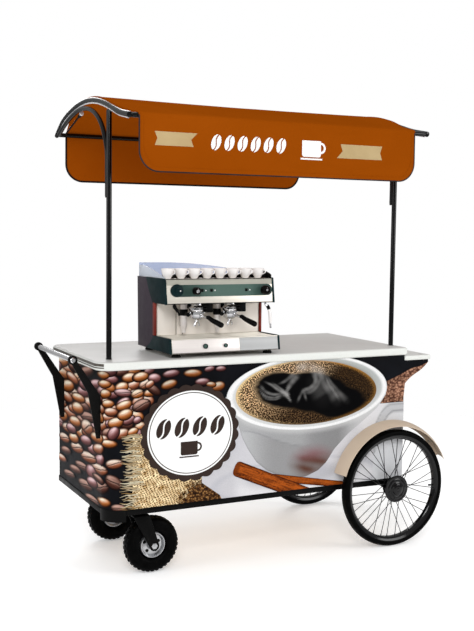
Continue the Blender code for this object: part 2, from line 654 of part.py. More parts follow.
# ---------------------------------------------------------------- coffee machine
def build_machine_casing():
    """The machine's body: base with a tray pocket, back column, overhanging hood and feet."""
    x0, x1 = MACHINE_X
    profile = [(-0.374, MACHINE_BASE_Z), (0.045, MACHINE_BASE_Z), (MACHINE_BACK_Y, MACHINE_TOP_Z),
               (FASCIA_Y[0], MACHINE_TOP_Z), (FASCIA_Y[1], HOOD_Z), (SPLASH_Y, HOOD_Z),
               (SPLASH_Y, TRAY_TOP_Z), (-0.362, TRAY_TOP_Z)]
    casing = prism(profile, "X", x0, x1)
    pocket = box((x0 + 0.020, -0.352, 1.080), (x1 - 0.020, SPLASH_Y - 0.006, TRAY_TOP_Z + 0.01))
    half = BUTTON_SIDE / 2 + 0.0008
    wells = [box((x - half, -0.340, CONTROL_Z - half), (x + half, -0.2935, CONTROL_Z + half))
             for x in BUTTON_X]
    feet = [turned(((0.022, MACHINE_FLOOR), (0.018, MACHINE_BASE_Z + 0.002)), (x, y, 0), "Z", 16)
            for x in (x0 + 0.045, x1 - 0.045) for y in (-0.330, 0.005)]
    inside = prism([(-0.160, 1.060), (0.043, 1.060), (0.050, 1.387), (-0.286, 1.387),
                    (-0.286, 1.288), (-0.160, 1.288)], "X", x0 + 0.005, x1 - 0.005)
    hose_way = box((x0 + 0.110, -0.120, 1.040), (x1 - 0.110, -0.030, 1.070))
    underside = box((x0 + 0.075, -0.355, 1.040), (x1 - 0.075, -0.175, 1.070))
    casing = cut(casing, pocket, together(wells), inside, together([hose_way, underside]))
    add("machine_casing", union(casing, together(feet)), STAINLESS)


def build_drip_tray():
    """Lift-out tray with its slotted grille, in the pocket of the machine's base."""
    x0, x1 = MACHINE_X[0] + 0.021, MACHINE_X[1] - 0.021
    y0, y1 = -0.351, SPLASH_Y - 0.007
    tray = box((x0, y0, 1.0803), (x1, y1, TRAY_TOP_Z + 0.001))
    basin = box((x0 + 0.004, y0 + 0.004, 1.084), (x1 - 0.004, y1 - 0.004, TRAY_TOP_Z - 0.003))
    slots = [box((x0 + 0.012, y - 0.004, TRAY_TOP_Z - 0.004), (x1 - 0.012, y + 0.004, TRAY_TOP_Z + 0.01))
             for y in [y0 + 0.018 + 0.020 * i for i in range(8)]]
    add("drip_tray", cut(tray, basin, together(slots)), STAINLESS, ((x0 + x1) / 2, (y0 + y1) / 2, 1.0803))


def build_groups():
    """Brewing group heads and the portafilters that lock into them."""
    swing = radians(28)
    for side, x in (("left", GROUP_X[0]), ("right", GROUP_X[1])):
        centre = (x, GROUP_Y, 0)
        head = ((0.030, 1.2360), (0.036, 1.2400), (0.036, 1.2560), (0.028, 1.2600),
                (0.028, HOOD_Z - GAP))
        add(f"group_head_{side}", turned(head, centre, "Z", 24), CHROME, round_shape=True)
        bowl = turned(((0.024, 1.1960), (0.031, 1.2040), (0.033, 1.2260), (0.033, 1.2357)),
                      centre, "Z", 24)
        way = Vector((sin(swing), -cos(swing), 0))
        start = Vector((x, GROUP_Y, 1.216)) + way * 0.020
        neck = Vector((x, GROUP_Y, 1.211)) + way * 0.060
        end = Vector((x, GROUP_Y, 1.176)) + way * 0.155
        spout = rod((x, GROUP_Y, 1.198), (x, GROUP_Y, 1.180), 0.009, 12)
        across = Vector((cos(swing), sin(swing), 0)) * 0.014
        fork = [rod(Vector((x, GROUP_Y, 1.186)), Vector((x, GROUP_Y, 1.166)) + across * s, 0.006, 10)
                for s in (-1, 1)]
        handle = union(bowl, rod(start, neck, 0.007, 10), rod(neck - way * 0.004, end, 0.013, 14),
                       spout, fork[0], fork[1])
        add(f"portafilter_{side}", handle, BLACK_PLASTIC, (x, GROUP_Y, 1.2357), True)


def build_machine_fittings():
    """Steam wands, steam knobs, push buttons and the cup rail."""
    top = HOOD_Z - 0.001
    routes = {"left": ((-0.450, -0.285, top), (-0.450, -0.285, 1.265), (-0.437, -0.290, 1.238),
                       (-0.425, -0.293, 1.190)),
              "right": ((0.035, -0.285, top), (0.035, -0.285, 1.267), (0.041, -0.285, 1.259),
                        (0.066, -0.286, 1.249), (0.083, -0.288, 1.215), (0.090, -0.292, 1.145))}
    for side, route in routes.items():
        add_tube(f"steam_wand_{side}", smooth_path(route, 3), 0.0055, CHROME, route[0], 1)
    for side, x in (("left", KNOB_X[0]), ("right", KNOB_X[1])):
        face = -0.3062
        knob = ((0.010, face), (0.010, face - 0.008), (0.018, face - 0.010), (0.017, face - 0.038),
                (0.013, face - 0.042))
        add(f"steam_knob_{side}", turned(knob, (x, 0, CONTROL_Z), "Y", 18), BLACK_PLASTIC,
            (x, face, CONTROL_Z), True)
    half = BUTTON_SIDE / 2
    for number, x in enumerate(BUTTON_X, 1):
        button = box((x - half, -0.3085, CONTROL_Z - half), (x + half, -0.2970, CONTROL_Z + half))
        add(f"brew_button_{number}", button, BLACK_PLASTIC, (x, -0.3085, CONTROL_Z))
    z0 = MACHINE_TOP_Z + GAP
    x0, x1 = MACHINE_X[0] + 0.004, MACHINE_X[1] - 0.004
    side_shape = [(-0.285, z0), (0.050, z0), (0.050, z0 + 0.058), (-0.060, z0 + 0.048),
                  (-0.200, z0 + 0.022), (-0.285, z0 + 0.004)]
    back = [(x0 + 0.002, z0), (x1 - 0.002, z0), (x1 - 0.002, z0 + 0.0575), ((x0 + x1) / 2, z0 + 0.068),
            (x0 + 0.002, z0 + 0.0575)]
    rail = union(prism(back, "Y", 0.0455, 0.0495), prism(side_shape, "X", x0, x0 + 0.004),
                 prism(side_shape, "X", x1 - 0.004, x1))
    add("cup_rail", rail, SMOKED_ACRYLIC)


build_base_frame()
build_uprights_and_rails()
build_boards()
build_panels()
build_counter_and_shelf()
build_handle()
build_doors()
build_wheels()
build_mudguards()
build_casters()
build_posts_and_hoops()
build_cover()
build_machine_casing()
build_drip_tray()
build_groups()
build_machine_fittings()
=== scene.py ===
"""Looks of the push vending cart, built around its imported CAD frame.

Pieces are made in a frame whose X starts at the middle of the cart's body, so every object is
placed at MIDDLE. Metres, +Z up; the printed front faces -Y and the push bar is at -X. mm() and
mm3() take plain numbers in millimetres. Colours are display colours from 0 to 255.
"""
import random
from math import atan2, cos, hypot, pi, radians, sin, sqrt

import bmesh
import bpy
from mathutils import Matrix, Vector, noise


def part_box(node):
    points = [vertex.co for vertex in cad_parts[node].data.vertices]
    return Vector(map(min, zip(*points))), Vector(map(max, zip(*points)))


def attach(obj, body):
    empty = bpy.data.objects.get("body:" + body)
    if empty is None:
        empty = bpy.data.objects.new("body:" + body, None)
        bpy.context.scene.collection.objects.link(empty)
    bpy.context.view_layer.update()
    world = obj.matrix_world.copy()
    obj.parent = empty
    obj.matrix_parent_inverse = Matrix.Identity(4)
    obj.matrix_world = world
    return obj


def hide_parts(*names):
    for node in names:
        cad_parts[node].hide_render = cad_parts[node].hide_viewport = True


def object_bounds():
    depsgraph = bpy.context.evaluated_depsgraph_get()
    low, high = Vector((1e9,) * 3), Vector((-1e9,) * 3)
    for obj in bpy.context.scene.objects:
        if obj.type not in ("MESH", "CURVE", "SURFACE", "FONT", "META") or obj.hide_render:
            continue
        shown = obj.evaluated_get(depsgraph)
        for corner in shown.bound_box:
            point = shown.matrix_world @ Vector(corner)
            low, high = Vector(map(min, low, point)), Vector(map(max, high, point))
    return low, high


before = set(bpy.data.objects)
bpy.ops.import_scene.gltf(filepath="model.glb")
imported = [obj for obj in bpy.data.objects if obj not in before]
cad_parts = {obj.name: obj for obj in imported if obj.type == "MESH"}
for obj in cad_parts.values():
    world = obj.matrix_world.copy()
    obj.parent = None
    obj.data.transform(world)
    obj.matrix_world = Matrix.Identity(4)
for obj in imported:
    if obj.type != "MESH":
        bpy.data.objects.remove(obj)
CAD_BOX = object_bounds()

MIDDLE = Vector(((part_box("left_end_panel")[0].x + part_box("right_end_panel")[1].x) / 2, 0, 0))


def box_of(node):
    """A CAD node's corners, in the frame of the body's middle."""
    return [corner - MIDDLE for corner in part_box(node)]


def middle_of(node):
    """The middle of a CAD node's box."""
    low, high = box_of(node)
    return (low + high) / 2


def mm(*numbers, size=2):
    """Points of `size` numbers each, from millimetres to metres."""
    return [tuple(n / 1000 for n in numbers[i:i + size]) for i in range(0, len(numbers), size)]


def mm3(*numbers):
    """Points of three numbers each, from millimetres to metres."""
    return mm(*numbers, size=3)


# ---------------------------------------------------------------- driving places
BODY_X = box_of("right_end_panel")[1].x
FRONT_Y = box_of("front_panel")[0].y
CORNER_LOW, CORNER_HIGH = box_of("corner_panel")
CORNER_R = CORNER_HIGH.x - CORNER_LOW.x
CORNER = Vector((-BODY_X + CORNER_R, FRONT_Y + CORNER_R))
PRINT_Z = (box_of("front_panel")[0].z, box_of("left_end_panel")[1].z)
END_Y = box_of("left_end_panel")[1].y
SHELF_LOW, SHELF_HIGH = box_of("side_shelf")
RAIL_Y, RAIL_Z = middle_of("rear_rail").yz


def rgb(*display):
    """Linear colour of a display colour."""
    def linear(value):
        value /= 255
        return value / 12.92 if value <= 0.04045 else ((value + 0.055) / 1.055) ** 2.4
    return tuple(linear(value) for value in display)


def mixed(a, b, t):
    """The colour a share t of the way from a to b."""
    t = min(max(t, 0.0), 1.0)
    return tuple(x + (y - x) * t for x, y in zip(a, b))


def painted(colour, *coats):
    """A colour under coats of (red, green, blue, share)."""
    for *coat, share in coats:
        colour = mixed(colour, rgb(*coat), share)
    return colour


def ease(low, high, value):
    """0 below low, 1 above high, and smooth between them."""
    t = min(max((value - low) / (high - low), 0.0), 1.0)
    return t * t * (3 - 2 * t)


def wobble(*place):
    """Smooth noise at a place, from -1 to 1."""
    return noise.noise(Vector(place))


# ---------------------------------------------------------------- materials
LOOKS = {}
WHITE = (1, 1, 1)
BRUSHED = (0.12, 1, 9)           # stretch of a steel sheet's grain


class Graph:
    """A Principled material and a short way to add nodes to it."""

    def __init__(self, name):
        self.material = LOOKS[name] = bpy.data.materials.new(name)
        self.material.use_nodes = True
        self.tree = self.material.node_tree
        self.shader = self.tree.nodes["Principled BSDF"]

    def feed(self, socket, value):
        """Links or sets one socket."""
        if isinstance(value, bpy.types.NodeSocket):
            self.tree.links.new(value, socket)
        else:
            socket.default_value = value

    def set(self, node, inputs):
        """Feeds a node's sockets by name."""
        for key, value in inputs.items():
            self.feed(node.inputs[key.replace("_", " ")], value)

    def add(self, kind, settings=None, **inputs):
        """Adds a node; an input is a number, a colour or another node's output."""
        node = self.tree.nodes.new("ShaderNode" + kind)
        for key, value in (settings or {}).items():
            setattr(node, key, value)
        self.set(node, inputs)
        return node

    def place(self, stretch=WHITE):
        """Object coordinates, stretched."""
        where = self.add("TexCoord").outputs["Object"]
        return self.add("Mapping", Vector=where, Scale=stretch).outputs["Vector"]

    def along(self, low, high):
        """0 to 1 from one X to another."""
        return self.span(self.add("SeparateXYZ", Vector=self.place()).outputs["X"], 0, 1, low, high)

    def noise(self, scale, stretch=WHITE, detail=4.0, distortion=0.0):
        """Fractal noise over the object."""
        return self.add("TexNoise", Vector=self.place(stretch), Scale=scale, Detail=detail,
                        Distortion=distortion).outputs["Fac"]

    def cells(self, scale, stretch, randomness):
        """Distance to the nearest of many scattered points."""
        return self.add("TexVoronoi", {"feature": "F1"}, Vector=self.place(stretch), Scale=scale,
                        Randomness=randomness).outputs["Distance"]

    def wave(self, direction, place, scale, distortion, detail=1.0, **more):
        """Straight bands across one axis."""
        return self.add("TexWave", {"bands_direction": direction}, Vector=place, Scale=scale,
                        Distortion=distortion, Detail=detail, **more).outputs["Fac"]

    def calc(self, operation, first, second, kind="Math"):
        """Two numbers or vectors in one."""
        node = self.add(kind, {"operation": operation})
        self.feed(node.inputs[0], first)
        self.feed(node.inputs[1], second)
        return node.outputs[0]

    def ramp(self, factor, *stops):
        """A colour ramp with (place, colour) stops."""
        node = self.add("ValToRGB", Fac=factor)
        elements = node.color_ramp.elements
        while len(elements) < len(stops):
            elements.new(0.5)
        for element, (position, colour) in zip(elements, stops):
            element.position = position
            element.color = (*colour, 1)
        return node.outputs["Color"]

    def shade(self, factor, grey, start=0.3, end=0.7):
        """A grey that brightens to white with the factor, to multiply by."""
        return self.ramp(factor, (start, (grey,) * 3), (end, WHITE))

    def blend(self, kind, factor, first, second):
        """Mixes two colours."""
        node = self.add("Mix", {"data_type": "RGBA", "blend_type": kind})
        for index, value in ((0, factor), (6, first), (7, second)):
            self.feed(node.inputs[index], value)
        return node.outputs[2]

    def times(self, first, second, factor=1.0):
        """One colour multiplied by another."""
        return self.blend("MULTIPLY", factor, first, second)

    def span(self, factor, low, high, start=0.3, end=0.7):
        """A number that goes from low to high with the factor."""
        return self.add("MapRange", Value=factor, From_Min=start, From_Max=end, To_Min=low,
                        To_Max=high).outputs["Result"]

    def finish(self, colour, rough, height, bump, distance=0.0006, **more):
        """Sets the shader; rough is (factor, low, high)."""
        normal = self.add("Bump", Height=height, Strength=bump, Distance=distance)
        self.set(self.shader, {"Base Color": colour, "Roughness": self.span(*rough),
                               "Normal": normal.outputs["Normal"], **more})

    def film(self, colour, height, bump, **more):
        """Printed film: weak gloss, a little uneven."""
        self.finish(colour, (self.noise(6.0), 0.40, 0.52), height, bump,
                    Specular_IOR_Level=0.04, **more)


# each look's dark and light colour, lowest and highest roughness, metallic, size of its colour
# patches and of its grain, bump, specular level and stretch
SURFACES = {
    "gloss_black": (3, 3, 4, 9, 9, 10, 0.10, 0.18, 0, 5, 90, 0.02, 0.26),
    "satin_black": (3, 3, 3, 9, 9, 9, 0.34, 0.5, 0, 6, 300, 0.10, 0.07),
    "matte_black": (6, 6, 6, 13, 13, 12, 0.5, 0.65, 0, 8, 420, 0.15, 0.10),
    "spoke": (14, 14, 15, 30, 30, 31, 0.25, 0.4, 0.6, 40, 300, 0.05, 0.3),
    # painted reflection on the counter's left edge
    "edge_reflection": (84, 79, 73, 116, 110, 102, 0.25, 0.4, 0.4, 9, 300, 0.06, 0.5, (1, 0.1, 1)),
    "tan": (188, 170, 150, 196, 178, 158, 0.5, 0.65, 0, 4, 200, 0.05, 0.25),
    "chrome": (222, 222, 224, 236, 236, 238, 0.06, 0.13, 1, 14, 120, 0.015, 0.5),
    "zinc": (170, 171, 174, 196, 197, 199, 0.24, 0.38, 0.9, 24, 180, 0.06, 0.5),
    "steel": (214, 208, 196, 228, 223, 212, 0.30, 0.42, 0.55, 5, 90, 0.02, 0.5, BRUSHED),
    # painted highlight on the apron's left part, and the drain pipes' pale steel
    "pale_steel_and_highlight": (218, 211, 207, 229, 223, 219, 0.3, 0.42, 0.25, 5, 90, 0.02, 0.5, BRUSHED),
    "dull_steel": (158, 156, 146, 173, 171, 160, 0.42, 0.55, 0.3, 4, 90, 0.02, 0.2, BRUSHED),
    # painted shade on the apron's right part
    "shaded_steel": (172, 173, 173, 188, 189, 189, 0.46, 0.58, 0.2, 4, 90, 0.02, 0.2, BRUSHED),
    "splash": (232, 223, 213, 244, 237, 228, 0.44, 0.54, 0.15, 3, 120, 0.01, 0.5),
    "frame_steel": (30, 30, 31, 44, 44, 45, 0.35, 0.5, 0.3, 12, 260, 0.1, 0.5),
    "slate": (55, 47, 56, 62, 54, 62, 0.45, 0.6, 0, 6, 340, 0.10, 0.2),
    "green": (8, 27, 30, 14, 38, 41, 0.35, 0.5, 0, 6, 340, 0.06, 0.08),
    "red": (104, 28, 18, 132, 40, 26, 0.35, 0.45, 0, 10, 260, 0.08, 0.3),
    "china": (234, 230, 228, 245, 242, 240, 0.14, 0.22, 0, 12, 120, 0.02, 0.4),
    "white_ink": (236, 236, 235, 244, 244, 243, 0.45, 0.55, 0, 9, 330, 0.03, 0.1),
    "brown_ink": (44, 33, 29, 54, 42, 37, 0.45, 0.55, 0, 9, 330, 0.03, 0.1),
    "tan_ink": (174, 150, 108, 186, 163, 121, 0.6, 0.75, 0, 7, 330, 0.08, 0.1),
    "ground": (6, 6, 8, 15, 17, 23, 0.45, 0.55, 0, 5, 330, 0.02, 0.05),
    "door": (38, 24, 17, 60, 39, 27, 0.4, 0.52, 0, 3, 200, 0.06, 0.2, (3, 3, 0.25)),
    "piping": (16, 9, 10, 28, 20, 21, 0.6, 0.75, 0, 12, 500, 0.3, 0.1),
    "grey_piping": (38, 30, 31, 56, 47, 48, 0.6, 0.75, 0, 12, 500, 0.3, 0.1),
    "pale_strip": (222, 222, 226, 240, 240, 242, 0.3, 0.4, 0, 9, 300, 0.05, 0.5),
}


def plain_looks():
    """Materials with soft colour patches, uneven gloss and a fine grain, and the tyres' rubber."""
    for name, (*colours, low, high, metallic, patches, grain, bump, specular) in (
            (name, row[:13]) for name, row in SURFACES.items()):
        stretch = (*SURFACES[name], WHITE)[13]
        graph = Graph(name)
        broad = graph.noise(patches, stretch, 5.0, 0.4)
        graph.finish(graph.ramp(broad, (0.3, rgb(*colours[:3])), (0.7, rgb(*colours[3:]))),
                     (graph.noise(patches * 4, stretch), low, high),
                     graph.noise(grain, stretch, 3.0), bump,
                     Metallic=metallic, Specular_IOR_Level=specular)
    graph = Graph("rubber")
    dust = graph.ramp(graph.noise(38.0, detail=8.0), (0.35, rgb(1, 1, 1)), (0.75, rgb(6, 6, 6)))
    graph.finish(dust, (graph.noise(20.0), 0.36, 0.52), graph.noise(420.0), 0.2,
                 Specular_IOR_Level=0.03)


def cloth_look():
    """Coated canvas: fine square weave, faint creases, slow changes of tone, and a painted glow in its
    own colour that lifts its shaded parts.
    """
    graph = Graph("canvas")
    weave = graph.calc("MULTIPLY", *(graph.wave(way, graph.place(), 260.0, 1.2) for way in "XZ"))
    shade = graph.ramp(graph.noise(2.2, (1, 1, 2), 5.0, 0.5), (0.25, rgb(119, 54, 3)),
                       (0.75, rgb(127, 59, 5)))
    cloth = graph.times(shade, graph.shade(weave, 0.6, 0.0, 0.6), 0.12)
    # painted light: the canvas glows in its own colour to even out the shading of its roof and flaps
    graph.finish(cloth, (graph.noise(9.0), 0.8, 0.95), weave, 0.25, 0.0005,
                 Specular_IOR_Level=0.0, Emission_Color=cloth, Emission_Strength=0.55)


def print_look():
    """Printed film: colours from the picture's own mesh, froth bubbles and a fine print grain."""
    graph = Graph("print")
    paint = graph.add("Attribute", {"attribute_name": "Paint"}).outputs
    spots = graph.ramp(graph.cells(138.0, (1, 0.2, 1.25), 0.9), (0.40, (0.030, 0.024, 0.02)),
                       (0.53, (0.42, 0.37, 0.33)), (0.66, (1.60, 1.50, 1.40)))
    froth = graph.times(paint["Color"], spots, paint["Alpha"])
    grain = graph.shade(graph.noise(330.0, detail=2.0), 0.84)
    graph.film(graph.times(froth, grain), graph.noise(45.0), 0.03)


def burlap_look():
    """Coarse plain weave of straw-coloured yarn with dark gaps."""
    graph = Graph("burlap")
    place = graph.place()
    bent = graph.add("TexNoise", Vector=place, Scale=26.0, Detail=3.0).outputs["Color"]
    warped = graph.calc("MULTIPLY_ADD", bent, (0.034, 0.0, 0.030), "VectorMath")
    graph.feed(warped.node.inputs[2], place)
    turned_place = graph.add("VectorRotate", {"rotation_type": "Y_AXIS"}, Vector=warped,
                             Angle=radians(24)).outputs["Vector"]
    yarns = [graph.wave(way, turned_place, scale, 1.3, Detail_Scale=3.0)
             for way, scale in (("X", 24.0), ("Z", 34.0))]
    both = graph.calc("ADD", graph.calc("MULTIPLY", *yarns), graph.calc("MAXIMUM", *yarns))
    threads = graph.ramp(both, (0.14, rgb(52, 36, 20)), (0.44, rgb(140, 106, 62)),
                         (0.86, rgb(206, 176, 124)), (1.0, rgb(250, 232, 190)))
    tone = graph.ramp(graph.noise(34.0, detail=8.0), (0.32, rgb(168, 140, 102)), (0.64, WHITE))
    graph.film(graph.times(threads, tone), both, 0.05)


def granular_look(name, dark, middle, light, scale, scattered=False):
    """Printed picture of coarse grains; scattered ones thin out where the paint does."""
    graph = Graph(name)
    cells = graph.cells(scale, (1, 0.3, 1.2), 1.0)
    grains = graph.ramp(cells, (0.15, rgb(*light)), (0.42, rgb(*middle)), (0.75, rgb(*dark)))
    tone = graph.ramp(graph.noise(scale * 0.3, detail=5.0), (0.3, (0.45, 0.42, 0.4)), (0.68, WHITE))
    more = {}
    if scattered:
        paint = graph.add("Attribute", {"attribute_name": "Paint"}).outputs["Alpha"]
        cover = graph.calc("ADD", paint, graph.noise(60.0, detail=6.0))
        more["Alpha"] = graph.span(cover, 0.0, 1.0, 0.72, 0.92)
    graph.film(graph.times(grains, tone), cells, 0.03, **more)


def acrylic_look(name, low, high):
    """Pale clear sheet, a little scratched."""
    graph = Graph(name)
    graph.finish(graph.ramp(graph.noise(5.0), (0.3, rgb(*low)), (0.7, rgb(*high))),
                 (graph.noise(60.0, (1, 1, 4)), 0.12, 0.24), graph.noise(240.0, (6, 1, 1)), 0.03,
                 0.0004, Specular_IOR_Level=0.3, Alpha=graph.span(graph.noise(3.0), 0.60, 0.70))


def strip_look():
    """Green control strip: dark at its left end, paler in the middle, fine grained."""
    graph = Graph("strip")
    shade = graph.ramp(graph.along(-0.46, 0.06), (0.05, rgb(36, 58, 53)), (0.42, rgb(80, 104, 96)),
                       (0.75, rgb(74, 100, 92)), (1.0, rgb(34, 56, 52)))
    speckle = graph.shade(graph.noise(300.0, detail=3.0), 0.86)
    graph.finish(graph.times(shade, speckle), (graph.noise(7.0), 0.34, 0.46),
                 graph.noise(340.0, detail=3.0), 0.04, Specular_IOR_Level=0.15)


def counter_look():
    """Grey laminate with a paler edge, both finely speckled; the top is painted darker than the edge,
    and darker at its left end than at its right, as painted shade and light.
    """
    graph = Graph("counter")
    facing = graph.add("SeparateXYZ", Vector=graph.add("NewGeometry").outputs["Normal"])
    # painted shade: faces that look up get the darker top colour, the sides the paler edge colour
    up = graph.span(facing.outputs["Z"], 0.0, 1.0, 0.55, 0.95)
    fine = graph.noise(520.0, detail=3.0)
    edge = graph.ramp(fine, (0.3, rgb(214, 216, 211)), (0.7, rgb(226, 228, 224)))
    # painted light and shade along the top: darker at the left end, lighter towards the right
    top = graph.times(graph.ramp(graph.along(-0.55, 0.30), (0.0, rgb(182, 182, 180)),
                                 (1.0, rgb(206, 206, 203))),
                      graph.shade(graph.noise(2.0, detail=5.0), 0.94))
    graph.finish(graph.blend("MIX", up, edge, top), (graph.noise(7.0), 0.36, 0.5), fine, 0.04,
                 Specular_IOR_Level=0.25)


def plywood_look():
    """Birch ply with long grain."""
    graph = Graph("plywood")
    rings = graph.wave("Y", graph.place((0.15, 1, 1)), 9.0, 7.0, 3.0, Detail_Scale=1.4)
    graph.finish(graph.ramp(rings, (0.2, rgb(176, 140, 98)), (0.8, rgb(205, 173, 128))),
                 (graph.noise(30.0, (0.1, 1, 1)), 0.45, 0.62), graph.noise(200.0, (0.08, 1, 1)),
                 0.15)


# ---------------------------------------------------------------- mesh helpers
def on_axis(axis, along, a, b):
    """A point at `along` on the axis, with a and b on the other two axes in X, Y, Z order."""
    return {"X": (along, a, b), "Y": (a, along, b), "Z": (a, b, along)}[axis]


def join(bm, rows, around=True, loop=False, flip=False):
    """Faces between neighbouring rows of vertices; `around` closes each row, `loop` the rows."""
    count = len(rows[0])
    for first, second in zip(rows, rows[1:] + rows[:1] * loop):
        for i in range(count - (not around)):
            j = (i + 1) % count
            bm.faces.new((first[i], second[i], second[j], first[j]) if flip else
                         (first[i], first[j], second[j], second[i]))


def sheet(rows, around=False, loop=False, flip=True):
    """A mesh of faces between rows of points."""
    bm = bmesh.new()
    join(bm, [[bm.verts.new(point) for point in row] for row in rows], around, loop, flip)
    return bm


def skin(sections, closed=False, caps=True):
    """A surface through matching cross-sections."""
    bm = sheet(sections, True, closed, False)
    if caps and not closed:
        bm.verts.ensure_lookup_table()
        count = len(sections[0])
        bm.faces.new(bm.verts[:count])
        bm.faces.new(bm.verts[-count:])
    bmesh.ops.recalc_face_normals(bm, faces=bm.faces)
    return bm


def prism(outline, axis, low, high, edge=0, segments=2, angle=30):
    """A flat outline swept along one axis, with its edges sharper than the angle rounded."""
    bm = skin([[on_axis(axis, at, a, b) for a, b in outline] for at in (low, high)])
    return softened(bm, edge, segments, angle) if edge else bm


def softened(bm, width, segments=2, angle=30):
    """Rounds the edges that are sharper than the angle."""
    edges = [e for e in bm.edges if len(e.link_faces) == 2 and e.calc_face_angle(0) > radians(angle)]
    bmesh.ops.bevel(bm, geom=edges, offset=width, segments=segments, profile=0.5,
                    affect="EDGES", clamp_overlap=True)
    return bm


def block(low, high, edge=0.0015, segments=2):
    """A rectangular block with rounded edges."""
    (x0, y0, z0), (x1, y1, z1) = low, high
    return prism(((x0, y0), (x1, y0), (x1, y1), (x0, y1)), "Z", z0, z1, edge, segments)


def arc(centre, radius, start, end, steps):
    """Points of a circular arc; angles in degrees."""
    angles = [radians(start + (end - start) * i / steps) for i in range(steps + 1)]
    return [(centre[0] + radius * cos(t), centre[1] + radius * sin(t)) for t in angles]


def turned(profile, centre, axis, segments=48, closed=False):
    """A profile of (radius, along) points turned round an axis; a closed one makes a ring."""
    turns = [2 * pi * i / segments for i in range(segments)]
    bm = sheet([[on_axis(axis, along, radius * cos(t), radius * sin(t))
                 for radius, along in profile] for t in turns], closed, True, False)
    if not closed:
        bmesh.ops.remove_doubles(bm, verts=bm.verts, dist=1e-6)
        bmesh.ops.holes_fill(bm, edges=[e for e in bm.edges if e.is_boundary], sides=segments)
    bmesh.ops.recalc_face_normals(bm, faces=bm.faces)
    bmesh.ops.translate(bm, verts=bm.verts, vec=centre)
    return bm


def scaled(profile, sign):
    """A profile on one side or the other of its middle."""
    return [(radius, sign * along) for radius, along in profile]


def tube(path, radius, sides=14):
    """A round tube along a path; the radius is one number or one for each point."""
    path = [Vector(p) for p in path]
    radii = radius if isinstance(radius, (list, tuple)) else [radius] * len(path)
    sections = []
    side = None
    for i, point in enumerate(path):
        ahead = (path[min(i + 1, len(path) - 1)] - path[max(i - 1, 0)]).normalized()
        if side is None:
            side = ahead.orthogonal().normalized()
        side = (side - ahead * side.dot(ahead)).normalized()
        other = ahead.cross(side)
        turns = [2 * pi * k / sides for k in range(sides)]
        sections.append([point + (side * cos(t) + other * sin(t)) * radii[i] for t in turns])
    return skin(sections)


def smooth_path(points, steps=6):
    """A Catmull-Rom curve through the points, with `steps` pieces between neighbours."""
    points = [Vector(p) for p in points]
    ends = [2 * points[0] - points[1]] + points + [2 * points[-1] - points[-2]]
    path = []
    for a, b, c, d in zip(ends, ends[1:], ends[2:], ends[3:]):
        for i in range(steps):
            t = i / steps
            path.append(0.5 * (2 * b + (c - a) * t + (2 * a - 5 * b + 4 * c - d) * t ** 2
                               + (3 * b - a - 3 * c + d) * t ** 3))
    return path + [points[-1]]


def link(made):
    """Puts an object in the scene."""
    bpy.context.scene.collection.objects.link(made)
    return made


def piece(name, shapes, look, replaces=None, body="cart", crease=35):
    """One named object made of shapes, with its material, body and the node it stands for."""
    bm = bmesh.new()
    for shape in shapes:
        mesh = bpy.data.meshes.new("shape")
        shape.to_mesh(mesh)
        shape.free()
        bm.from_mesh(mesh)
        bpy.data.meshes.remove(mesh)
    mesh = bpy.data.meshes.new(name)
    bm.to_mesh(mesh)
    bm.free()
    mesh.materials.append(LOOKS[look])
    mesh.shade_smooth()
    mesh.set_sharp_from_angle(angle=radians(crease))
    made = link(bpy.data.objects.new(name, mesh))
    made.location = MIDDLE
    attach(made, body)
    if replaces:
        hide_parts(replaces)
    return made


def refinish(look, *nodes):
    """Gives CAD nodes that keep their mesh a better material."""
    for node in nodes:
        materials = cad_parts[node].data.materials
        materials.clear()
        materials.append(LOOKS[look])


# ---------------------------------------------------------------- camera, light and floor
CAMERA_AT = Vector((-2.2717, -4.5712, 1.6247))
CAMERA_TURN = (-26.704, -4.723, 0.685)       # yaw, pitch and roll in degrees
LIGHT_AIM = Vector((0, 0, 1.0))
FLOOR_R = 4.3


def set_camera():
    """The camera stands in front of the cart, to the left of its middle."""
    yaw, pitch, roll = (radians(angle) for angle in CAMERA_TURN)
    ahead = Vector((-sin(yaw) * cos(pitch), cos(yaw) * cos(pitch), sin(pitch)))
    right = Vector((cos(yaw), sin(yaw), 0))
    up = right.cross(ahead)
    right, up = right * cos(roll) + up * sin(roll), up * cos(roll) - right * sin(roll)
    data = bpy.data.cameras.new("camera")
    data.lens = 56.40
    data.shift_x = -0.0014
    data.shift_y = -0.0046
    data.clip_end = 60
    camera = link(bpy.data.objects.new("camera", data))
    camera.matrix_world = Matrix((right, up, -ahead)).transposed().to_4x4()
    camera.location = MIDDLE + CAMERA_AT
    bpy.context.scene.camera = camera


def area_light(name, place, size, power):
    """A soft square light that faces the cart."""
    data = bpy.data.lights.new(name, "AREA")
    data.size = size
    data.energy = power
    light = link(bpy.data.objects.new(name, data))
    light.location = place
    light.rotation_euler = (LIGHT_AIM - Vector(place)).to_track_quat("-Z", "Y").to_euler()


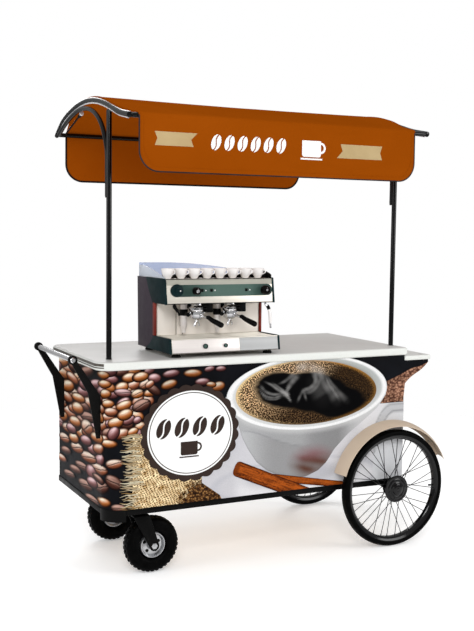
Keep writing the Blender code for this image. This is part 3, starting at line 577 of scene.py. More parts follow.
def set_studio():
    """Even white surroundings, four soft lights and a pale floor that fades out."""
    bpy.context.scene.view_settings.view_transform = "Standard"
    world = bpy.data.worlds.new("studio")
    world.use_nodes = True
    nodes, links = world.node_tree.nodes, world.node_tree.links
    background = nodes["Background"]
    seen, where, split, glow, path, both = (
        nodes.new("ShaderNode" + kind) for kind in ("Background", "TexCoord", "SeparateXYZ",
                                                    "MapRange", "LightPath", "MixShader"))
    for shader in (background, seen):
        shader.inputs["Color"].default_value = (1, 1, 1, 1)
    for name, value in (("From Min", -0.1), ("From Max", 0.9), ("To Min", 0.36), ("To Max", 0.72)):
        glow.inputs[name].default_value = value
    for output, socket in ((where.outputs["Generated"], split.inputs[0]),
                           (split.outputs["Z"], glow.inputs["Value"]),
                           (glow.outputs["Result"], background.inputs["Strength"]),
                           (path.outputs["Is Camera Ray"], both.inputs[0]),
                           (background.outputs[0], both.inputs[1]),
                           (seen.outputs[0], both.inputs[2]),
                           (both.outputs[0], nodes["World Output"].inputs["Surface"])):
        links.new(output, socket)
    bpy.context.scene.world = world
    area_light("key", (-2.4, -4.5, 3.4), 1.6, 118)
    area_light("fill", (3.4, -3.8, 2.2), 2.0, 76)
    area_light("back", (0.6, 4.0, 3.4), 2.4, 70)
    area_light("left", (-4.6, -0.6, 2.2), 2.2, 40)

    graph = Graph("floor")
    reach = graph.add("VectorMath", {"operation": "LENGTH"}, Vector=graph.place()).outputs["Value"]
    graph.set(graph.shader, {
        "Base Color": graph.ramp(graph.noise(3.0), (0.3, (0.90,) * 3), (0.7, (0.93,) * 3)),
        "Roughness": graph.span(graph.noise(8.0), 0.7, 0.85), "Specular IOR Level": 0.1,
        "Emission Color": (1, 1, 1, 1), "Emission Strength": 0.30,
        "Alpha": graph.span(reach, 1.0, 0.0, 2.0, 4.2)})
    bm = bmesh.new()
    bmesh.ops.create_circle(bm, cap_ends=True, segments=96, radius=FLOOR_R)
    mesh = bpy.data.meshes.new("floor")
    bm.to_mesh(mesh)
    bm.free()
    mesh.materials.append(graph.material)
    floor = link(bpy.data.objects.new("floor", mesh))
    floor.location.z = CAD_BOX[0].z


# ---------------------------------------------------------------- the printed picture
ARC_SHARE = 0.91                 # picture length for a length round the corner
END_SHARE = 0.38                 # the same along the left end, where the picture is stretched
ARC_PICTURE = ARC_SHARE * CORNER_R * pi / 2
PICTURE_LEFT = CORNER.x - ARC_PICTURE - END_SHARE * (END_Y - CORNER.y)
INK = 0.86                       # the film's inks against the colours they are named by


def wrapped(p, z, lift):
    """A point of the picture laid on the body, `lift` proud of the skin."""
    past = CORNER.x - p
    if past <= 0:
        return Vector((p, FRONT_Y - lift, z))
    if past <= ARC_PICTURE:
        turn = -pi / 2 - past / ARC_PICTURE * pi / 2
        reach = CORNER_R + lift
        return Vector((CORNER.x + reach * cos(turn), CORNER.y + reach * sin(turn), z))
    return Vector((-BODY_X - lift, CORNER.y + (past - ARC_PICTURE) / END_SHARE, z))


class Picture:
    """Coloured flat shapes in picture places (p, z), kept in one mesh."""

    def __init__(self):
        self.bm = bmesh.new()
        self.paint = self.bm.verts.layers.float_color.new("Paint")

    def vert(self, p, z, lift, colour, froth=0.0):
        """One painted point."""
        vert = self.bm.verts.new((p, -lift, z))
        vert[self.paint] = (*(INK * c for c in colour), froth)
        return vert

    def grid(self, rows, closed=False):
        """Faces between rows of (p, z, lift, colour, froth) points."""
        verts = [[self.vert(*point) for point in row] for row in rows]
        join(self.bm, verts, closed, flip=True)
        return verts

    def lay(self, name, look="print"):
        """Trims the picture at the body's edges, wraps it round the corner and adds it."""
        cuts = (((PICTURE_LEFT, 0, 0), (-1, 0, 0)), ((BODY_X, 0, 0), (1, 0, 0)),
                ((0, 0, PRINT_Z[0] + 0.0005), (0, 0, -1)), ((0, 0, PRINT_Z[1]), (0, 0, 1)),
                ((CORNER.x, 0, 0), None), ((CORNER.x - ARC_PICTURE, 0, 0), None))
        for place, outside in cuts:
            bmesh.ops.bisect_plane(self.bm, geom=self.bm.verts[:] + self.bm.edges[:] + self.bm.faces[:],
                                   plane_co=place, plane_no=outside or (1, 0, 0),
                                   clear_outer=outside is not None)
        for vert in self.bm.verts:
            vert.co = wrapped(vert.co.x, vert.co.z, -vert.co.y)
        piece(name, [self.bm], look, crease=60)


# each kind of bean's dark, body and shine colours
BEAN_BROWNS = {
    "gold": (rgb(50, 16, 6), rgb(212, 122, 52), rgb(255, 242, 218)),
    "tan": (rgb(46, 17, 10), rgb(190, 108, 68), rgb(255, 236, 218)),
    "rose": (rgb(36, 13, 16), rgb(146, 86, 84), rgb(246, 210, 212)),
    "dark": (rgb(22, 8, 8), rgb(98, 54, 42), rgb(208, 166, 150)),
}
BEAN_LIGHT = Vector((-0.16, 0.50, 0.84)).normalized()
BEAN_RINGS, BEAN_SIDES = 9, 26


def bean_colour(x, y, tones, split, turn):
    """Shade of a bean at (x, y) in its own unit oval; split beans show the crease."""
    dark, body, shine = tones
    r = min(hypot(x, y), 1.0)
    height = sqrt(max(1 - r * r, 0))
    nx, ny = x * 0.55, y
    if split:
        nx, ny, height = nx * 0.5, ny * 0.75, height * 0.8 + 0.15
    normal = Vector((nx * cos(turn) - ny * sin(turn), nx * sin(turn) + ny * cos(turn), height))
    normal.normalize()
    lit = max(normal.dot(BEAN_LIGHT), 0)
    colour = mixed(dark, body, 0.04 + 1.12 * lit ** 1.9)
    colour = mixed(colour, shine, min(1.0, 1.20 * lit ** 11))
    grain = wobble(x * 2.2 + turn * 7, y * 6.5, turn * 3)
    colour = mixed(colour, dark, 0.45 * max(grain, 0))
    if split:
        crease = abs(y - 0.16 * sin(2.6 * x) - 0.04)
        colour = mixed(colour, shine, 0.35 * ease(0.30, 0.16, crease) * (1 - r))
        colour = mixed(colour, mixed(dark, (0, 0, 0), 0.6), ease(0.13, 0.04, crease) * 0.95)
    return mixed(colour, mixed(dark, (0.004, 0.003, 0.003), 0.8), ease(0.66, 0.98, r) * 0.96)


def paint_bean(picture, p, z, length, width, turn, tone, split, lift, blur=1.0):
    """One coffee bean as a small round grid."""
    def point(x, y):
        dx, dz = x * length / 2, y * width / 2
        shade = bean_colour(x, y, BEAN_BROWNS[tone], split, turn)
        return (p + dx * cos(turn) - dz * sin(turn), z + dx * sin(turn) + dz * cos(turn),
                lift, tuple(c * blur for c in shade))

    rings = [[point(r * cos(t), r * sin(t)) for t in (2 * pi * k / BEAN_SIDES
                                                      for k in range(BEAN_SIDES))]
             for r in (i / BEAN_RINGS for i in range(1, BEAN_RINGS + 1))]
    inner = picture.grid(rings, True)[0]
    centre = picture.vert(*point(0, 0))
    for first, second in zip(inner, inner[1:] + inner[:1]):
        picture.bm.faces.new((centre, second, first))


# chosen beans in front of the dark ground: p, z, length and width in millimetres, turn in degrees,
# tone, and 1 for a split one
LOOSE_BEANS = (
    (-834, 963, 78, 38, 4, "gold", 0), (-828, 922, 84, 40, 6, "gold", 0),
    (-822, 878, 71, 45, 10, "gold", 0), (-737, 887, 82, 40, -8, "rose", 1),
    (-806, 834, 68, 41, 8, "gold", 0), (-733, 829, 78, 47, 20, "gold", 0),
    (-791, 798, 68, 45, 5, "tan", 0), (-712, 760, 68, 45, 24, "rose", 0),
    (-770, 749, 74, 54, 18, "gold", 0), (-693, 705, 60, 40, 20, "gold", 0),
    (-779, 700, 74, 52, 60, "rose", 0), (-803, 650, 88, 42, 2, "gold", 0),
    (-776, 559, 82, 47, 10, "tan", 1), (-854, 564, 66, 50, 40, "rose", 0),
    (-854, 518, 94, 47, 6, "tan", 1), (-779, 474, 88, 64, -35, "dark", 1),
    (-848, 437, 98, 56, 14, "dark", 1), (-830, 374, 84, 45, 2, "gold", 0),
    (-754, 352, 74, 44, -10, "dark", 1), (-981, 802, 73, 40, 8, "gold", 0),
    (-940, 396, 72, 43, 10, "dark", 1), (-921, 541, 82, 45, 14, "tan", 1),
    (-990, 551, 68, 45, 16, "tan", 1), (-896, 592, 56, 42, 30, "rose", 0),
    (-936, 614, 60, 44, 20, "rose", 0), (-1009, 589, 56, 44, 24, "gold", 0),
    (-1025, 630, 56, 44, 10, "rose", 0), (-1001, 676, 65, 46, 14, "gold", 0),
    (-928, 683, 60, 62, 30, "tan", 1), (-985, 750, 65, 52, 20, "gold", 0),
    (-1038, 391, 64, 32, 14, "dark", 1), (-959, 476, 73, 36, 8, "dark", 1),
    (-905, 480, 58, 56, 70, "rose", 0), (-900, 432, 56, 44, 20, "rose", 0),
    (-870, 660, 74, 46, 14, "gold", 0), (-862, 612, 70, 44, 30, "tan", 0),
    (-1070, 560, 60, 42, 10, "tan", 1), (-1060, 500, 60, 36, 18, "dark", 0),
    (-652, 824, 96, 60, 16, "dark", 1), (-672, 879, 64, 44, 10, "gold", 1),
    (-728, 787, 74, 54, 20, "gold", 0), (-672, 757, 44, 38, 20, "rose", 0),
    (-612, 919, 52, 36, 30, "tan", 0), (-655, 956, 80, 48, 8, "gold", 0),
    (-900, 350, 70, 36, 6, "dark", 1), (-1000, 436, 66, 36, 12, "dark", 0),
    (-860, 470, 70, 34, -8, "dark", 0), (-1090, 446, 60, 34, 8, "tan", 0),
)
# soft beans behind the badge and above it, along the counter
FAR_BEANS = (
    (-505, 962, 94, 40, 6, "rose", 0), (-395, 958, 100, 42, -2, "gold", 0),
    (-345, 915, 84, 40, 0, "rose", 0), (-262, 888, 74, 52, 10, "gold", 0),
    (-515, 912, 88, 46, 14, "gold", 0), (-300, 899, 56, 30, -8, "gold", 0),
    (-250, 972, 60, 30, 0, "rose", 0), (-310, 974, 60, 30, 10, "rose", 0),
    (-592, 893, 90, 44, -35, "dark", 0),
)
LIFT_STEP = 2e-5                 # overlapping beans lie this far above each other


def print_beans():
    """Roasted beans that crowd the left end and the front's left part."""
    draw = random.Random(41)
    picture = Picture()
    level = 0
    for row in range(11):
        z = 0.990 - row * 0.0365
        p = PICTURE_LEFT - 0.02 + (0.035 if row % 2 else 0)
        right = -0.585 - max(0, row - 3) * 0.016 - max(0, row - 8) * 0.11
        while p < right:
            wide = 1 + 0.32 * ease(-0.84, -0.92, p)
            tone = draw.choices(("gold", "tan", "rose", "dark"), (4, 5, 3, 1 + (row < 2) * 3))[0]
            level = (level + 7) % 40
            paint_bean(picture, p + draw.uniform(-0.010, 0.010), z + draw.uniform(-0.009, 0.009),
                       draw.uniform(0.060, 0.080) * wide,
                       draw.uniform(0.042, 0.054) * (0.4 + 0.6 * wide),
                       radians(draw.uniform(-25, 35)), tone, draw.random() < 0.16,
                       0.0003 + level * LIFT_STEP, 0.78 if row < 1 else 1.0)
            p += draw.uniform(0.056, 0.068) * wide
    for beans, growth, blur in ((LOOSE_BEANS, 0.22, 1.0), (FAR_BEANS, 0, 0.7)):
        for i, (*place, turn, tone, split) in enumerate(beans):
            (p, z), (length, width) = mm(*place)
            wide = 1 + growth * ease(-0.80, -0.90, p)
            paint_bean(picture, p, z, length * wide, width * wide, radians(turn), tone, split,
                       0.0012 + i * LIFT_STEP, blur)
    picture.lay("bean_print")


def print_burlap():
    """The sack cloth below the badge, its fringe at the left and spilt ground coffee."""
    draw = random.Random(12)
    left, low = -0.694, PRINT_Z[0]
    patch = Picture()
    tops = mm(-600, 690, -500, 600, -400, 560, -300, 500, -230, 430)
    patch.grid([[(p, z, 0.0016, WHITE) for z in (low, 0.5 * (low + top), top)]
                for p, top in ((left, 0.690), *tops, (-0.190, low + 0.002))])
    patch.lay("burlap_print", "burlap")
    fringe = Picture()
    strands, steps = 62, 12
    for i in range(strands):
        z = low + 0.004 + (0.694 - low) * i / strands + draw.uniform(-0.004, 0.004)
        start = left - draw.uniform(0.026, 0.060)
        end = left + draw.uniform(0.006, 0.066)
        thick = draw.uniform(0.0020, 0.0044)
        pale = mixed(rgb(172, 136, 82), rgb(255, 246, 214), draw.random())
        phase, sway = draw.uniform(0, 6), draw.uniform(-0.006, 0.006)
        edge = painted(pale, (52, 32, 14, 0.80))
        rows = []
        for k in range(steps + 1):
            t = k / steps
            p = start + (end - start) * t
            middle = z + 0.003 * sin(phase + 7 * t) + sway * (1 - t) ** 2
            half = thick * (0.30 + 0.70 * min(1, 3 * t))
            rows.append([(p, middle + side * half, 0.0018 + i * 4e-6, colour)
                         for side, colour in ((-1, edge), (0, pale), (1, edge))])
        fringe.grid(rows)
    fringe.lay("burlap_fringe")
    spill = Picture()
    spill.grid([[(p, z, 0.0021, WHITE, max(0.0, 1.05 - 0.8 * hypot((p + 0.30) / 0.17, (z - low) / 0.11)))
                 for z in (low + 0.150 * k / 10 for k in range(11))]
                for p in (-0.520 + 0.290 * i / 18 for i in range(19))])
    spill.lay("ground_coffee_print", "coffee_grounds")


RIM_CENTRE = Vector((0.243, 0.828))
RIM_SIZE = (0.463, 0.186)
COFFEE_CENTRE = Vector((0.243, 0.833))
COFFEE_SIZE = (0.415, 0.165)
CUP_LOW = mm(-205, 828, -186, 777, -158, 705, -135, 633, -100, 569, -54, 504, 3, 458, 61, 430,
             143, 404, 226, 404, 298, 429, 345, 466, 393, 531, 470, 600, 560, 660, 650, 725,
             700, 790)
# the line where the dark coffee meets the froth
DARK_EDGE = mm(-54, 858, -49, 898, -4, 926, 87, 936, 145, 923, 239, 933, 359, 911, 459, 848,
               554, 799, 559, 735, 463, 689, 364, 696, 267, 735, 148, 759, 9, 789, -42, 827)
# wisps of steam: places and width at the start and end in millimetres, strength at both
STEAM = (
    ((76, 842, 105, 829, 120, 808, 135, 788), 6, 4, 0.55, 0.40),
    ((92, 834, 108, 827, 118, 812), 12, 8, 0.50, 0.45),
    ((-16, 898, 26, 877, 63, 851, 100, 833), 3, 6, 0.30, 0.60),
    ((25, 890, 50, 874, 76, 856, 105, 836), 3, 4, 0.20, 0.45),
    ((-45, 862, -14, 829, 34, 815, 86, 824), 4, 4, 0.22, 0.38),
    ((-38, 880, -12, 850, 30, 832, 82, 830), 5, 5, 0.22, 0.40),
    ((-34, 842, -4, 813, 45, 806, 80, 815), 3, 4, 0.14, 0.24),
    ((108, 836, 120, 862, 142, 892, 170, 925), 5, 14, 0.42, 0.26),
    ((60, 880, 96, 892, 130, 915, 150, 940), 4, 9, 0.18, 0.26),
    ((172, 786, 186, 815, 204, 838, 212, 818, 222, 790), 6, 5, 0.20, 0.22),
    ((198, 842, 238, 850, 268, 872, 276, 900, 262, 930), 6, 12, 0.30, 0.34),
    ((204, 830, 248, 834, 286, 862, 300, 905), 8, 10, 0.14, 0.22),
    ((296, 930, 330, 880, 372, 822, 404, 780), 12, 24, 0.26, 0.16),
    ((336, 918, 364, 866, 392, 816, 418, 776), 4, 7, 0.34, 0.22),
    ((350, 912, 388, 858, 424, 808, 462, 770), 5, 14, 0.26, 0.12),
    ((270, 880, 300, 840, 320, 800), 36, 40, 0.10, 0.08),
    ((150, 955, 185, 962, 235, 965, 290, 945, 345, 925), 18, 22, 0.50, 0.50),
)
STEAM_PATHS = [(smooth_path([(x, 0, z) for x, z in mm(*line)], 12), wide0 / 1000, wide1 / 1000, *strong)
               for line, wide0, wide1, *strong in STEAM]


def reading(points, at):
    """Height at `at` along a line of points."""
    for (x0, z0), (x1, z1) in zip(points, points[1:]):
        if at <= x1:
            return z0 + (z1 - z0) * (at - x0) / (x1 - x0)
    return points[-1][1]


def rim_edge(p):
    """The lower edge of the cup's rim oval at p."""
    share = min(abs(p - RIM_CENTRE.x) / RIM_SIZE[0], 1.0)
    return RIM_CENTRE.y - RIM_SIZE[1] * sqrt(1 - share * share)


def column_patch(picture, left, right, columns, rows, low, high, paint, lift):
    """A patch between two lines, painted by place."""
    lines = []
    for i in range(columns + 1):
        p = left + (right - left) * i / columns
        bottom, top = low(p), high(p)
        lines.append([(p, z, lift, paint(p, z)) for z in
                      (bottom + (top - bottom) * k / rows for k in range(rows + 1))])
    picture.grid(lines)


def light_colour(p, z):
    """Saucer and table cloth: white with soft grey folds, and the cup's handle."""
    fold = wobble(p * 5.0 + 2.0, z * 8.0, 1.5)
    ring = hypot((p - 0.19) / 0.47, (z - 0.395) / 0.105)
    shadow = hypot((p - 0.16) / 0.34, (z - 0.42) / 0.075)
    colour = painted(rgb(238, 237, 239), (200, 199, 206, 0.9 * max(fold, 0) + 0.18),
                     (206, 205, 210, 0.9 * ease(-0.12, -0.20, p)),
                     (186, 187, 196, 0.5 * ease(0.10, 0.0, abs(ring - 1.0))),
                     (160, 160, 170, 0.6 * ease(1.1, 0.5, shadow)))
    if p > 0.63:
        outer = 0.733 - 0.060 * max(0.0, (0.740 - p) / 0.08) ** 2.2
        inner = 0.699 - 0.042 * max(0.0, (0.760 - p) / 0.06) ** 2.2
        colour = painted(colour, (196, 197, 200, 0.8 * ease(outer + 0.02, outer, z)),
                         (134, 135, 138, 0.5 * ease(0.008, 0.001, abs(z - outer))),
                         (120, 121, 124, 0.55 * ease(0.009, 0.001, abs(z - inner))),
                         (226, 227, 230, ease(inner - 0.004, inner - 0.016, z)))
    return colour


def side_colour(p, z):
    """The cup's outer side: greys, a lighter band above, and a brown-purple glow low down."""
    line = 0.562 + 0.10 * ease(0.25, -0.14, p) ** 1.3
    above = ease(line - 0.002, line + 0.006, z) * ease(0.27, 0.18, p)
    colour = painted(rgb(196, 197, 199), (156, 156, 157, ease(-0.17, 0.06, p)),
                     (143, 143, 144, ease(0.16, 0.36, p)), (206, 206, 208, ease(0.40, 0.56, p)),
                     (176, 177, 178, 0.60 * above),
                     (140, 141, 144, 0.5 * ease(0.006, 0.0, abs(z - line)) * ease(0.27, 0.15, p)))
    glow = ease(1.25, 0.35, hypot((p - 0.265) / 0.135, (z - 0.475) / 0.085))
    streak = 0.75 + 0.5 * wobble(p * 9 - z * 5, z * 26 + p * 6, 3.0)
    warm = painted(rgb(142, 104, 108), (92, 56, 42, ease(0.54, 0.46, z)))
    colour = mixed(colour, warm, min(1.0, 1.25 * glow * streak))
    foot = 0.4 * ease(0.012, 0.0, z - reading(CUP_LOW, p)) * ease(0.40, 0.30, p)
    return painted(colour, (112, 106, 108, foot),
                   (214, 214, 214, 0.6 * ease(0.030, 0.0, rim_edge(p) - z)))


def dark_share(turn):
    """Where the dark coffee ends at an angle, as a share of the coffee's oval."""
    places = []
    for p, z in DARK_EDGE:
        x, y = (p - COFFEE_CENTRE.x) / COFFEE_SIZE[0], (z - COFFEE_CENTRE.y) / COFFEE_SIZE[1]
        places.append((atan2(y, x) % (2 * pi), hypot(x, y)))
    places.sort()
    (first, near), (last, far) = places[0], places[-1]
    places = [(last - 2 * pi, far), *places, (first + 2 * pi, near)]
    return min(reading(places, turn % (2 * pi)), 0.93)


def steam_at(p, z):
    """How much steam covers a place, from 0 to 1."""
    clear = 1.0
    here = Vector((p, 0, z))
    for order, (line, wide0, wide1, strong0, strong1) in enumerate(STEAM_PATHS):
        count = len(line) - 1
        gap, t = min(((here - point).length, i / count) for i, point in enumerate(line))
        wide = wide0 + (wide1 - wide0) * t
        if gap > 2 * wide:
            continue
        strong = (strong0 + (strong1 - strong0) * t) * ease(-0.06, 0.20, t)
        strong *= ease(1.06, 0.80, t) * (0.85 + 0.6 * wobble(t * 5, order * 3, 1))
        clear *= 1 - strong * max(0.0, 1 - (gap / (2.0 * wide)) ** 2) ** 2.2
    return 1 - clear


def coffee_colour(r, turn):
    """The coffee's surface at a share r of its oval: froth, dark centre and steam."""
    x, y = r * cos(turn), r * sin(turn)
    left, right = max(-cos(turn), 0), max(cos(turn), 0)
    top, low = max(sin(turn), 0), max(-sin(turn), 0)
    limit = dark_share(turn) + 0.035 * wobble(x * 9, y * 9, 4.0)
    froth = ease(limit - 0.03, limit + 0.10, r)
    tan = painted(rgb(206, 176, 136), (84, 64, 42, min(1.0, max(1.2 * low - 0.3 * left, 0))),
                  (58, 42, 24, min(1.0, 1.6 * right)),
                  (184, 158, 126, top ** 2 * (1 - min(1.0, 2.0 * right))))
    crema = ease(limit + 0.04, limit + 0.22, r) * ease(0.15, 0.75, right)
    golden = ease(0.90, 1.0, r) * ease(0.0, 0.5, right) * (0.35 + 0.65 * top)
    pale = (ease(0.88, 0.99, r) * min(1.0, 1.25 * left)
            * (0.35 + 0.65 * ease(-0.5, 0.3, sin(turn))))
    steam = steam_at(COFFEE_CENTRE.x + COFFEE_SIZE[0] * x, COFFEE_CENTRE.y + COFFEE_SIZE[1] * y)
    colour = painted(mixed(rgb(1, 1, 2), tan, froth), (60, 42, 22, crema * 0.9),
                     (186, 132, 62, golden), (236, 208, 156, pale),
                     (112, 88, 58, ease(0.955, 1.0, r) * low * (1 - left)),
                     (196, 194, 192, steam))
    return colour, froth * (1 - 0.35 * crema) * (1 - steam) * (1 - ease(0.93, 1.0, r))


def rim_colour(share, turn):
    """The thick white rim of the cup: bright lip, grey inside."""
    across = ease(0.90, 1.0, share)
    colour = painted(rgb(218, 219, 219), (253, 253, 253, ease(0.0, 0.40, across)),
                     (224, 225, 226, ease(0.88, 1.0, across)))
    shade = max(cos(turn - 0.80), 0) ** 0.7
    wall = painted(rgb(142, 142, 130), (178, 182, 180, ease(0.80, 0.90, share)))
    return mixed(colour, wall, 0.85 * shade * ease(0.60, 0.0, across)), 0.0


def oval_rows(centre, size, shares, around, lift, paint, dip=0.0):
    """Rings of points of an oval, painted by share and angle; `dip` pulls in its upper right."""
    rows = []
    for share in shares:
        row = []
        for turn in (2 * pi * k / around for k in range(around)):
            reach = share * (1 - dip * max(cos(turn - 0.80), 0) ** 2)
            row.append((centre.x + size[0] * reach * cos(turn),
                        centre.y + size[1] * reach * sin(turn), lift, *paint(share, turn)))
        rows.append(row)
    return rows


def print_cup():
    """A large cup of coffee on its saucer, cut off by the counter's edge."""
    (x0, z0), (x1, z1) = (-0.345, 0.432), (-0.242, 0.357)

    def light_low(p):
        return PRINT_Z[0] - 0.001 if p > x1 else z0 + (z1 - z0) * (p - x0) / (x1 - x0)

    def light_top(p):
        if p < -0.225:
            return 0.47 + (p - x0) * 3.1
        return 0.835 if p < -0.2 else 0.755 - 0.012 * (p > 0.6)

    cloth = Picture()
    column_patch(cloth, x0, BODY_X, 110, 46, light_low, light_top, light_colour, 0.0024)
    cloth.lay("saucer_print")
    cup = Picture()
    column_patch(cup, CUP_LOW[0][0], CUP_LOW[-1][0], 96, 30, lambda p: reading(CUP_LOW, p),
                 lambda p: rim_edge(p) + 0.006, side_colour, 0.0027)
    lip = [0.74 + 0.26 * k / 13 for k in range(14)]
    cup.grid(oval_rows(RIM_CENTRE, RIM_SIZE, lip, 128, 0.0030, rim_colour), True)
    shares = [0.004] + [k / 44 for k in range(1, 45)]
    cup.grid(oval_rows(COFFEE_CENTRE, COFFEE_SIZE, shares, 220, 0.0032, coffee_colour, 0.10), True)
    cup.lay("cup_print")


def print_cinnamon():
    """Two rolled cinnamon sticks in front of the saucer."""
    sticks = Picture()
    steps, across = 110, 22
    for line, half0, half1, lift in ((mm(-20, 428, 460, 338), 0.020, 0.016, 0.0034),
                                     (mm(-174, 488, 268, 296), 0.038, 0.036, 0.0036)):
        start, end = (Vector(place) for place in line)
        along = (end - start).normalized()
        side = Vector((-along.y, along.x))
        rows = []
        for t in (i / steps for i in range(steps + 1)):
            round_end = sqrt(max(0.0, 1 - (1 - min(t / 0.05, 1.0)) ** 2))
            half = (half0 + (half1 - half0) * t) * (0.40 + 0.60 * round_end)
            row = []
            for v in (-1 + 2 * k / across for k in range(across + 1)):
                place = start.lerp(end, t) + side * half * v
                streak, fine = wobble(t * 7, v * 6.5, lift * 900), wobble(t * 60, v * 12, 2.0)
                lit = 0.40 + 0.34 * cos((v - 0.25) * 1.9) + 0.80 * streak + 0.65 * fine
                colour = painted(rgb(62, 22, 6), (186, 90, 26, lit),
                                 (58, 22, 8, ease(0.72, 1.0, abs(v))),
                                 (112, 50, 12, 0.8 * ease(0.075, 0.045, t + 0.02 * v * v)))
                row.append((place.x, place.y, lift, colour))
            rows.append(row)
        sticks.grid(rows)
    sticks.lay("cinnamon_print")


BADGE = Vector((-0.405, 0.677))
BADGE_SIZE = (0.252, 0.2305)
SCALLOPS = 24


def filled(outline, y_at):
    """A filled outline in (x, z) that faces the front; y_at gives the depth at a place."""
    bm = bmesh.new()
    verts = [bm.verts.new((x, 0, z)) for x, z in outline]
    edges = [bm.edges.new((a, b)) for a, b in zip(verts, verts[1:] + verts[:1])]
    bmesh.ops.triangle_fill(bm, use_beauty=True, edges=edges)
    for vert in bm.verts:
        vert.co.y = y_at(vert.co.x, vert.co.z)
    for face in bm.faces:
        if face.normal.y > 0:
            face.normal_flip()
    return bm


def on_skin(outline, lift):
    """A filled outline, laid `lift` proud of the front skin."""
    return filled(outline, lambda x, z: FRONT_Y - lift)


def badge_oval(share, turn):
    """A point of the badge's oval."""
    return (BADGE.x + BADGE_SIZE[0] * share * cos(turn), BADGE.y + BADGE_SIZE[1] * share * sin(turn))


def bean_icon(centre, length, width, turn):
    """Outlines of a bean drawn as two halves with an S-shaped gap between them."""
    halves = []
    gap = width * 0.06
    for side in (1, -1):
        line = [(cos(t) * length / 2, side * sin(t) * width / 2)
                for t in (pi * k / 16 for k in range(17))]
        crease = [(x, side * gap + 0.12 * width * sin(2 * pi * x / length))
                  for x in (-length * 0.46 + length * 0.92 * k / 10 for k in range(11))]
        outline = [p for p in line if abs(p[1]) > gap * 1.5] + crease
        halves.append([(centre.x + x * cos(turn) - y * sin(turn),
                        centre.y + x * sin(turn) + y * cos(turn)) for x, y in outline])
    return halves


def mug_icon(centre, size):
    """Outlines of a wide straight mug, its handle's ring and the line it stands on."""
    half, tall, corner = size * 0.62, size * 0.46, size * 0.14
    (left, right), (low, high) = ((c - h, c + h) for c, h in zip(centre, (half, tall)))
    body = [(left, high), *arc((left + corner, low + corner), corner, 180, 270, 5),
            *arc((right - corner, low + corner), corner, 270, 360, 5), (right, high)]
    grip = Vector((right, centre.y + size * 0.06))
    ring = arc(grip, size * 0.32, -90, 90, 14) + arc(grip, size * 0.19, 90, -90, 14)
    floor, thick, reach = low - size * 0.16, size * 0.09, half * 1.15
    base = [(centre.x + side * reach, z) for side, z in
            ((-1, floor), (1, floor), (1, floor + thick), (-1, floor + thick))]
    return [body, ring, base]


def print_badge():
    """Scalloped label: brown edge, white disc, a thin ring and made-up bean and mug icons."""
    points = SCALLOPS * 12
    turns = [2 * pi * i / points for i in range(points)]
    edge = [badge_oval(0.955 + 0.050 * abs(sin(SCALLOPS * t / 2)), t) for t in turns]
    piece("badge_edge", [on_skin(edge, 0.0040)], "brown_ink")
    turns = [2 * pi * k / 120 for k in range(120)]
    disc = [badge_oval(0.870, t) for t in turns]
    piece("badge_disc", [on_skin(disc, 0.0044)], "white_ink")
    ring = [[(x, FRONT_Y - 0.0048, z) for x, z in (badge_oval(share, t) for t in turns)]
            for share in (0.838, 0.820)]
    outlines = [half for x in (-0.138, -0.046, 0.046, 0.138) for half in
                bean_icon(BADGE + Vector((x, 0.028)), 0.100, 0.066, radians(62))]
    outlines += mug_icon(BADGE + Vector((-0.008, -0.072)), 0.070)
    piece("badge_marks", [skin(ring, caps=False), *(on_skin(line, 0.0048) for line in outlines)],
          "brown_ink")


def print_sack():
    """Brown sacking at the right end, up into the shelf bracket."""
    left, foot_z = 0.600, 0.834
    under = SHELF_HIGH.z - 0.0253
    corbel = box_of("front_panel")[1].x
    upper = mm(600, 815, 698, 855, 788, 887, 859, 917, 906, 924, 967, 945, 1010, 960)
    lines = []
    for i in range(41):
        x = left + (corbel - 0.0005 - left) * i / 40
        t = (x - BODY_X) / (corbel - BODY_X)
        edge = foot_z + (under - 0.013 - foot_z) * (t + 0.05 * sin(2 * pi * t))
        low = edge + 0.0005 if x > BODY_X else 0.745
        top = max(min(reading(upper, x), under - 0.001), low + 0.004)
        lines.append([(x, FRONT_Y - 0.0020, low + (top - low) * k / 4) for k in range(5)])
    piece("sack_print", [sheet(lines)], "sack")


def build_print():
    """All of the picture, from the ground up."""
    refinish("ground", "front_panel", "left_end_panel")
    outline = arc(CORNER, CORNER_R, 180, 270, 28) + arc(CORNER, CORNER_R - 0.006, 270, 180, 28)
    piece("corner_skin", [prism(outline, "Z", CORNER_LOW.z, CORNER_HIGH.z)], "ground",
          "corner_panel")
    print_beans()
    print_burlap()
    print_sack()
    print_cup()
    print_cinnamon()
    print_badge()


# ---------------------------------------------------------------- counter, shelf and handle
DEPTHS = (("front", -1), ("rear", 1))


